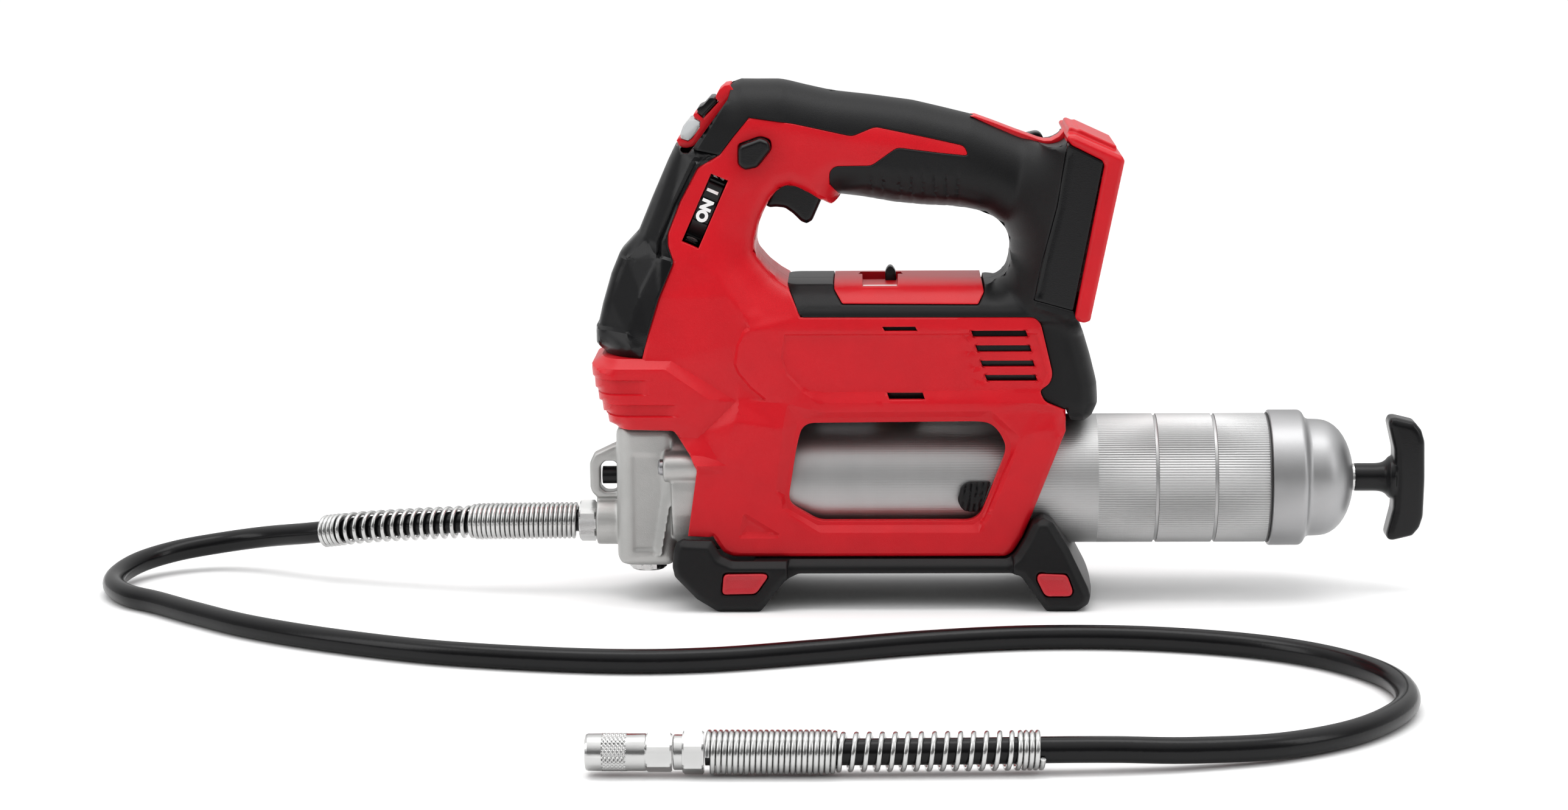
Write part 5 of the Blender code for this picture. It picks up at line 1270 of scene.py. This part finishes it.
def make_cap():
    profile = [(115.7, 27.2), (115.7, 29.3), (116.0, 29.9), (116.6, 30.1), (128.0, 30.1)]
    profile += arc((128.6, 27.3), 2.8, 85, 15, 6)
    profile += arc((134.2, 28.9), 2.9, 205, 262, 6)
    profile += [(135.6, 25.95), (138.5, 25.8), (141.0, 25.4), (143.2, 24.5), (145.3, 23.1), (147.3, 21.2),
                (149.0, 18.9), (150.5, 16.2), (151.7, 13.2), (152.6, 10.2), (153.1, 7.6), (153.0, 6.9),
                (152.6, 6.45), (150.2, 6.45), (149.8, 9.5), (147.0, 17.0), (142.5, 22.0), (137, 23.4),
                (130, 24.4), (124.0, 27.2), (115.7, 27.2)]
    piece("barrel_end_cap", spun(profile, BARREL_Z, steps=128), DOME, ["barrel_cap"], "cap",
          angle=38.0)
    seal = [(115.32, 27.6), (115.32, 28.9), (115.66, 28.9), (115.66, 27.6), (115.32, 27.6)]
    piece("cap_gasket", spun(seal, BARREL_Z), RUBBER, (), "cap", angle=40.0)


COIL_X = (-98.0, 112.0)
COIL_RADIUS = 20.0
COIL_WIRE = 1.1
COIL_TURNS = 7
COIL_STEPS = 32
BAR_X = 167.0
BAR_HALF = 29.0


def make_follower_spring():
    """The coil behind the follower, built at one fixed length. The real coil closes up against its rear end
    as the rod is drawn out.
    """
    count = COIL_TURNS * COIL_STEPS
    points = []
    for i in range(count + 1):
        turn = 2 * math.pi * i / COIL_STEPS
        points.append((COIL_X[0] + (COIL_X[1] - COIL_X[0]) * i / count, COIL_RADIUS * math.cos(turn),
                       BARREL_Z + COIL_RADIUS * math.sin(turn)))
    work = bpy.data.objects.new("work", tube("coil", points, COIL_WIRE, 2))
    bpy.context.scene.collection.objects.link(work)
    coil = adopt("follower_coil", applied(work), ZINC, ["follower_spring"], "barrel", angle=40.0)
    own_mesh(coil)


def thin_ends(points):
    """Thins the handle's bar towards its upper and lower ends."""
    share = np.clip(np.abs(points[:, 2] - BARREL_Z) / BAR_HALF, 0.0, 1.0)
    points[:, 1] *= np.where(points[:, 0] > BAR_X, 1.0 - 0.14 * share ** 2, 1.0)
    return points


def make_t_handle():
    stem = spun([(153.9, 6.25), (164.0, 6.25), (166.5, 6.6), (168.3, 7.6), (169.6, 9.4), (172.0, 9.4)],
                BARREL_Z, steps=64)
    moulded("t_handle_grip", merged(from_node("t_handle"), stem), BLACK, ["t_handle"], "follower", voxel=0.5,
            smoothing=9, adjust=thin_ends)


# ---------------------------------------------------------------- pump head

HEAD_FRONT_X = -172.0
HEAD_SIDE = 22.8
CORNER_R = 8.0
HEAD_STEP = 0.8         # how far the side is sunk below the head's step
SUNK_X = -164.5
SUNK_Z = (24.0, 66.4)
RIB_OUTLINE = [(-145.6, 58), (-149.4, 58), (-155.4, 21.4), (-152.0, 21.4)]
RIB_LEAN = 0.164
BOSS_X = (-150.5, -133.5)
BOSS_Y = 27.0
BOSS_Z = 62.0
BOSS_WEB = [(-150, 68.6), (-150, 56), (-146, 55.4), (-137, 55.4), (-137.6, 68.6)]


def rib_front(z):
    """Where the rib's front edge is at each height."""
    return RIB_OUTLINE[2][0] + (z - RIB_OUTLINE[2][1]) * RIB_LEAN


def shape_head(points):
    """Bends the casting's upright front corners round, and sinks the sides below the step."""
    x, y, z = points[:, 0], points[:, 1], points[:, 2]
    cx, cy = HEAD_FRONT_X + CORNER_R, HEAD_SIDE - CORNER_R
    dx, dy = x - cx, np.abs(y) - cy
    corner = (dx < 0) & (dy > 0) & (x > HEAD_FRONT_X - 1.0)
    reach = np.hypot(dx, dy)
    shrink = np.where(corner & (reach > CORNER_R), CORNER_R / np.maximum(reach, 1e-6), 1.0)
    points[:, 0] = np.where(corner, cx + dx * shrink, x)
    points[:, 1] = np.where(corner, np.sign(y) * (cy + dy * shrink), y)
    behind = np.minimum(rib_front(z), BOSS_X[0] - 0.4) - 0.3
    sunk = (z < SUNK_Z[1]) & (z > SUNK_Z[0]) & (x > SUNK_X) & (x < behind) & (np.abs(y) > HEAD_SIDE - 0.5)
    points[:, 1] = np.where(sunk, np.sign(y) * (HEAD_SIDE - HEAD_STEP), points[:, 1])
    return points


def rib_height(p):
    """The rib's face slants outwards from its front edge."""
    return 22.6 + 0.85 * np.clip(p[:, 0] - rib_front(p[:, 1]), 0.0, 3.6)


def make_casting():
    parts = [from_node("pump_head")]
    for side, _ in SIDES:
        low, high = sorted((side * 20.0, side * BOSS_Y))
        parts.append(relief(RIB_OUTLINE, rib_height, level(20.0), edge=0.2, step=1.0, side=side))
        parts.append(rod((BOSS_X[0], side * BOSS_Y, BOSS_Z), (BOSS_X[1], side * BOSS_Y, BOSS_Z), 6.6, 48))
        parts.append(extruded(BOSS_WEB, low, high, 0.8))
    moulded("pump_head_casting", merged(*parts), CAST, ["pump_head"], voxel=0.6, adjust=shape_head)


def make_head_plug():
    low, high = node_box("head_plug")
    x = (low[0] + high[0]) / 2
    plug = hex_nut(low[2], low[2] + 4.6, 8.2, 0.0, 0.0, 0.0)
    stand = Matrix(((0, 1, 0, x), (0, 0, 1, 0), (1, 0, 0, 0), (0, 0, 0, 1)))
    bmesh.ops.transform(plug, matrix=stand, verts=plug.verts)
    bmesh.ops.recalc_face_normals(plug, faces=plug.faces)
    shank = rod((x, 0, low[2] + 4.5), (x, 0, high[2]), 4.6, 32)
    piece("head_hex_plug", merged(plug, shank), ZINC, ["head_plug"], angle=20.0)


def make_head():
    make_casting()
    make_head_plug()
    moulded("bleed_valve_stem", from_node("bleed_valve"), BLACK, ["bleed_valve"], "bleeder", voxel=0.25,
            smoothing=3)
    for side, name in SIDES:
        node = f"{name}_head_screw"
        make_screw(f"{node}_torx", (-152.9, side * BOSS_Y, BOSS_Z), Vector((-1, 0, 0)), 3.6, [node])


SCREW_STEPS = 48
# A screw's rings from its tip to the bottom of its socket: lift, radius and depth of the six lobes,
# the last two as shares of the head's radius
SCREW_RINGS = ((-9.0, 0.45, 0), (-2.2, 0.45, 0), (-2.2, 1.0, 0), (-0.9, 1.0, 0), (-0.3, 0.86, 0),
               (0.0, 0.6, 0), (0.0, 0.5, 0.06), (-1.4, 0.44, 0.06))


def make_screw(name, top, outward, radius, replaced=()):
    """A round-headed screw with a six-lobed socket."""
    bm = bmesh.new()
    rings = []
    for lift, share, lobes in SCREW_RINGS:
        ring = []
        for k in range(SCREW_STEPS):
            a = 2 * math.pi * k / SCREW_STEPS
            reach = radius * (share + lobes * math.cos(6 * a))
            ring.append(bm.verts.new((reach * math.cos(a), reach * math.sin(a), lift)))
        rings.append(ring)
    join_rings(bm, rings)
    close_ends(bm, rings)
    turn = outward.to_track_quat("Z", "Y").to_matrix().to_4x4()
    bmesh.ops.transform(bm, matrix=Matrix.Translation(top) @ turn, verts=bm.verts)
    bmesh.ops.recalc_face_normals(bm, faces=bm.faces)
    piece(name, bm, STEEL, replaced)


HOUSING_SCREWS = [(-163, 92), (-148, 122), (-116, 208), (-104, 118), (-12, 188), (6, 112), (-111, 37),
                  (-2, 32), (-88, 88)]


def make_housing_screws():
    """The screws that hold the halves together, on the side away from the camera."""
    for index, place in enumerate(HOUSING_SCREWS):
        spot = np.array([place], float)
        height = black_height if is_inside(spot, BLACK_OUTLINE)[0] else red_height
        top = (place[0], float(height(spot)[0]) - 0.2, place[1])
        make_screw(f"housing_screw_{index + 1}", top, Vector((0, 1, 0)), 3.1)


# ---------------------------------------------------------------- base

PAD_OUTLINE = rounded([(-20.5, 53.5), (-22, 47.5), (-20, 43.5), (-17.5, 42.3), (-12.4, 42.3), (-7.2, 55.8),
                       (-17.5, 55.8)], 1.5)
RIB_PITCH = 2.55


def pad_height(p):
    """The pad that holds the barrel: ribbed, and round the barrel."""
    ribs = np.abs(np.cos(math.pi * (p[:, 0] - 0.12 * (p[:, 1] - 49.0)) / RIB_PITCH))
    return beside_barrel(p, 31.2) - 0.2 + ribs


def pad_back(p):
    return beside_barrel(p, 28.9)


INSERTS = {"front": [(-124.8, 8.2), (-110, 8.5), (-104.6, 16.2), (-106, 17.4), (-124, 17.2)],
           "rear": [(16, 7.2), (27, 7.2), (28, 9.5), (25.3, 16.8), (13, 17.3), (12.2, 14.8)]}
INSERT_ROUND = 2.0
SKID_TOP = [(-144, 33), (-140, 32), (-129, 31.6), (-125.4, 25), (-120, 22.5), (-0.5, 22.5), (3, 25),
            (7, 31.5), (11.5, 41), (18, 41.5), (26.5, 27.5), (34.5, 10)]
SKID_CHAMFER = 3.0
FOOT_SIDE = 42.0
WAIST = (-96.0, 2.0, 38.0)      # the x that the narrow part runs between, and its side


def insert_height(p):
    """A foot's insert stands a little proud of the foot's side, with a shallow step inside its rim."""
    rim = np.min([distance_to(p, rounded(line, INSERT_ROUND)) for line in INSERTS.values()], axis=0)
    return 42.5 - 0.5 * smooth_step(rim, 1.1, 1.6)


def shape_skid(points):
    """The rear foot's back bulges in plan, and the upper edges of both sides are chamfered."""
    x, y, z = points[:, 0], points[:, 1], points[:, 2]
    deep = distance_to(points[:, [0, 2]], SKID_TOP, False)
    side = np.where((x > WAIST[0]) & (x < WAIST[1]), WAIST[2], FOOT_SIDE)
    points[:, 1] = np.sign(y) * np.minimum(np.abs(y), side - np.clip(SKID_CHAMFER - deep, 0.0, None))
    share = np.clip((x - 24.0) / 10.0, 0.0, 1.0) * np.clip((30.0 - z) / 10.0, 0.0, 1.0)
    points[:, 0] = x + 2.2 * share * (1.0 - (y / FOOT_SIDE) ** 2)
    return points


def make_base():
    moulded("base_skid_body", from_node("base_skid"), RUBBER, ["base_skid"], smoothing=3, adjust=shape_skid)
    for side, name in SIDES:
        for end, outline in INSERTS.items():
            node = f"{name}_{end}_foot_insert"
            made = relief(rounded(outline, INSERT_ROUND), insert_height, level(39.2), edge=0.8, step=0.8,
                          side=side)
            piece(f"{node}_pad", made, INSERT, [node], angle=60.0)
    pad = relief(PAD_OUTLINE, pad_height, pad_back, edge=0.6, step=0.5)
    piece("barrel_rest_pad", pad, RUBBER, ["barrel_pad"], angle=50.0)


# ---------------------------------------------------------------- controls

DIAL_CENTRE = Vector((-131.3, -5.2, 174.3))
DIAL_AXIS = Vector((0.915, 0.0, -0.403)).normalized()
DIAL_UP = Vector((0.403, 0.0, 0.915)).normalized()
DIAL_RADIUS = 18.0
DIAL_HALF = 3.8
DIAL_MARKS = ["10", "", "ON", "1", "2", "3", "4", "5", "6", "7", "8", "9"]
DIAL_STEPS = 240
DIAL_FIRST = math.radians(-60.0)
DIAL_TURN = math.pi / 6         # from one mark's flat to the next
DIAL_FLAT = 1.018 * DIAL_RADIUS * math.cos(DIAL_TURN / 2)
DIAL_BORE = 11.5
MARK_SIZE = 6.4
MARK_WEIGHT = 0.4


def dial_frame(angle):
    """The directions outwards and along the rim at an angle round the dial."""
    outward = Vector((0, -1, 0)) * math.cos(angle) + DIAL_UP * math.sin(angle)
    along = DIAL_UP * math.cos(angle) - Vector((0, -1, 0)) * math.sin(angle)
    return outward, along


def dial_ring(bm, offset, inset):
    """One ring of the wheel: a flat for each mark and a notch between each two."""
    ring = []
    for k in range(DIAL_STEPS):
        angle = 2 * math.pi * k / DIAL_STEPS
        local = (angle - DIAL_FIRST + DIAL_TURN / 2) % DIAL_TURN - DIAL_TURN / 2
        notch = 0.7 if abs(abs(local) - DIAL_TURN / 2) < 0.028 else 0.0
        r = min(DIAL_FLAT / math.cos(local), DIAL_RADIUS) - notch - inset
        ring.append(bm.verts.new(DIAL_CENTRE + DIAL_AXIS * offset + dial_frame(angle)[0] * r))
    return ring


def make_dial():
    bm = bmesh.new()
    rings = [dial_ring(bm, offset, inset) for offset, inset in (
        (-DIAL_HALF, DIAL_BORE), (-DIAL_HALF, 0.5), (-DIAL_HALF + 0.5, 0.0), (DIAL_HALF - 0.5, 0.0),
        (DIAL_HALF, 0.5), (DIAL_HALF, DIAL_BORE))]
    join_rings(bm, rings + rings[:1])
    bmesh.ops.recalc_face_normals(bm, faces=bm.faces)
    piece("metering_wheel", bm, BLACK, ["metering_dial"], "dial", angle=25.0)
    for index, text in enumerate(DIAL_MARKS):
        if text:
            make_mark(f"dial_mark_{index}", text, DIAL_FIRST + index * DIAL_TURN)


def make_mark(name, text, angle):
    curve = bpy.data.curves.new(name, "FONT")
    curve.body = text
    curve.size = MARK_SIZE * MM
    curve.align_x = "CENTER"
    curve.align_y = "CENTER"
    curve.extrude = 0.08 * MM
    curve.offset = MARK_WEIGHT * MM
    curve.resolution_u = 4
    outward, along = dial_frame(angle)
    turn = Matrix((along, -DIAL_AXIS, outward)).transposed().to_4x4()
    work = bpy.data.objects.new("work", curve)
    bpy.context.scene.collection.objects.link(work)
    work.matrix_world = Matrix.Translation((DIAL_CENTRE + outward * DIAL_FLAT) * MM) @ turn
    adopt(name, applied(work), WHITE, (), "dial")


# The work light, in its own frame: along the slope, across, and out of it
SLOPE_LOW = Vector((-144.3, 0.0, 202.5))
SLOPE_ALONG = Vector((0.687, 0.0, 0.7267))
SLOPE_OUT = Vector((-0.7267, 0.0, 0.687))
LIGHT_BODY = [(0.4, -1.8), (0.7, -3.4), (1.9, -4.9), (4.1, -6.4), (9.1, -6.6), (15.1, -6.2), (29.6, -4.6),
              (34.2, -3.1), (34.8, 0.2), (33.0, 1.6), (29.8, 2.0), (27.0, 1.2), (26.3, 0.4), (26.2, -2.1),
              (16.1, -2.1), (16.1, 2.2), (15.4, 2.9), (14.3, 2.8), (13.8, 1.6), (14.4, -1.3), (12.5, -2.9),
              (6.7, -3.8), (4.3, -3.4), (3.0, -0.4), (2.6, 0.7), (1.2, 0.6)]
LIGHT_GLASS = [(3.2, -0.2), (4.5, -3.1), (6.7, -3.5), (12.4, -2.6), (14.1, -1.3), (13.4, 1.4), (11.2, 2.8),
               (7.6, 2.7), (4.2, 1.2)]
LIGHT_BUTTON = [(16.6, -0.3), (16.4, 1.9), (17.3, 3.4), (18.8, 3.2), (20.2, 2.5), (24.6, 2.6), (25.8, 1.5),
                (25.9, -0.3)]


def on_slope(bm):
    """Moves a shape from the work light's own frame to its place."""
    turn = Matrix((SLOPE_ALONG, Vector((0.0, 1.0, 0.0)), SLOPE_OUT)).transposed().to_4x4()
    bmesh.ops.transform(bm, matrix=Matrix.Translation(SLOPE_LOW) @ turn, verts=bm.verts)
    return bm


def make_light():
    """The panel's body is notched for a clear lens and for a button that can be pressed 1 mm in."""
    rails = [block((16.0, y, -2.6), (26.4, y + 0.7, -1.45), 0.15) for y in (-10.85, 10.15)]
    body = merged(extruded(LIGHT_BODY, -10.9, 10.9, 0.35, 2), *rails)
    piece("work_light_panel", on_slope(body), RED, ["light_panel"])
    cups = [block((6.2, y - 3.0, -2.9), (11.4, y + 3.0, -1.2), 0.5) for y in (-5.2, 5.2)]
    reflector = merged(block((5.4, -10.2, -3.5), (12.4, 10.2, -2.3), 0.3), *cups)
    piece("work_light_reflector", on_slope(reflector), WHITE)
    glass = extruded(LIGHT_GLASS, -11.1, 11.1, 0.6)
    piece("work_light_lens", on_slope(glass), LENS, ["light_lens"])
    cap = extruded(rounded(LIGHT_BUTTON, 0.5), -10.7, 10.7, 0.35, 2)
    button = merged(block((16.7, -9.9, -1.0), (25.7, 9.9, 1.0), 0.3), cap)
    piece("work_light_button", on_slope(button), BLACK, ["light_button"], "light_switch")


def make_controls():
    moulded("trigger_blade", from_node("trigger"), BLACK, ["trigger"], "trigger", voxel=0.4, smoothing=10)
    moulded("lock_off_slider", from_node("lock_off_button"), BLACK, ["lock_off_button"], "lock_button",
            voxel=0.4, smoothing=4)
    make_light()
    make_dial()


# ---------------------------------------------------------------- run

def restyle_nodes():
    """Every CAD node that stays in view takes a procedural material by its own slot."""
    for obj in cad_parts.values():
        names = [m.name if m else "" for m in obj.data.materials]
        look = next((look for slot, look in NODE_LOOKS.items() if any(slot in name for name in names)), STEEL)
        for holder in obj.material_slots:
            holder.link = "OBJECT"
            holder.material = look


make_camera()
make_studio()
make_floor()
restyle_nodes()
make_hose()
make_shells()
make_battery_mount()
make_barrel()
make_cap()
make_follower_spring()
make_t_handle()
make_head()
make_housing_screws()
make_base()
make_controls()
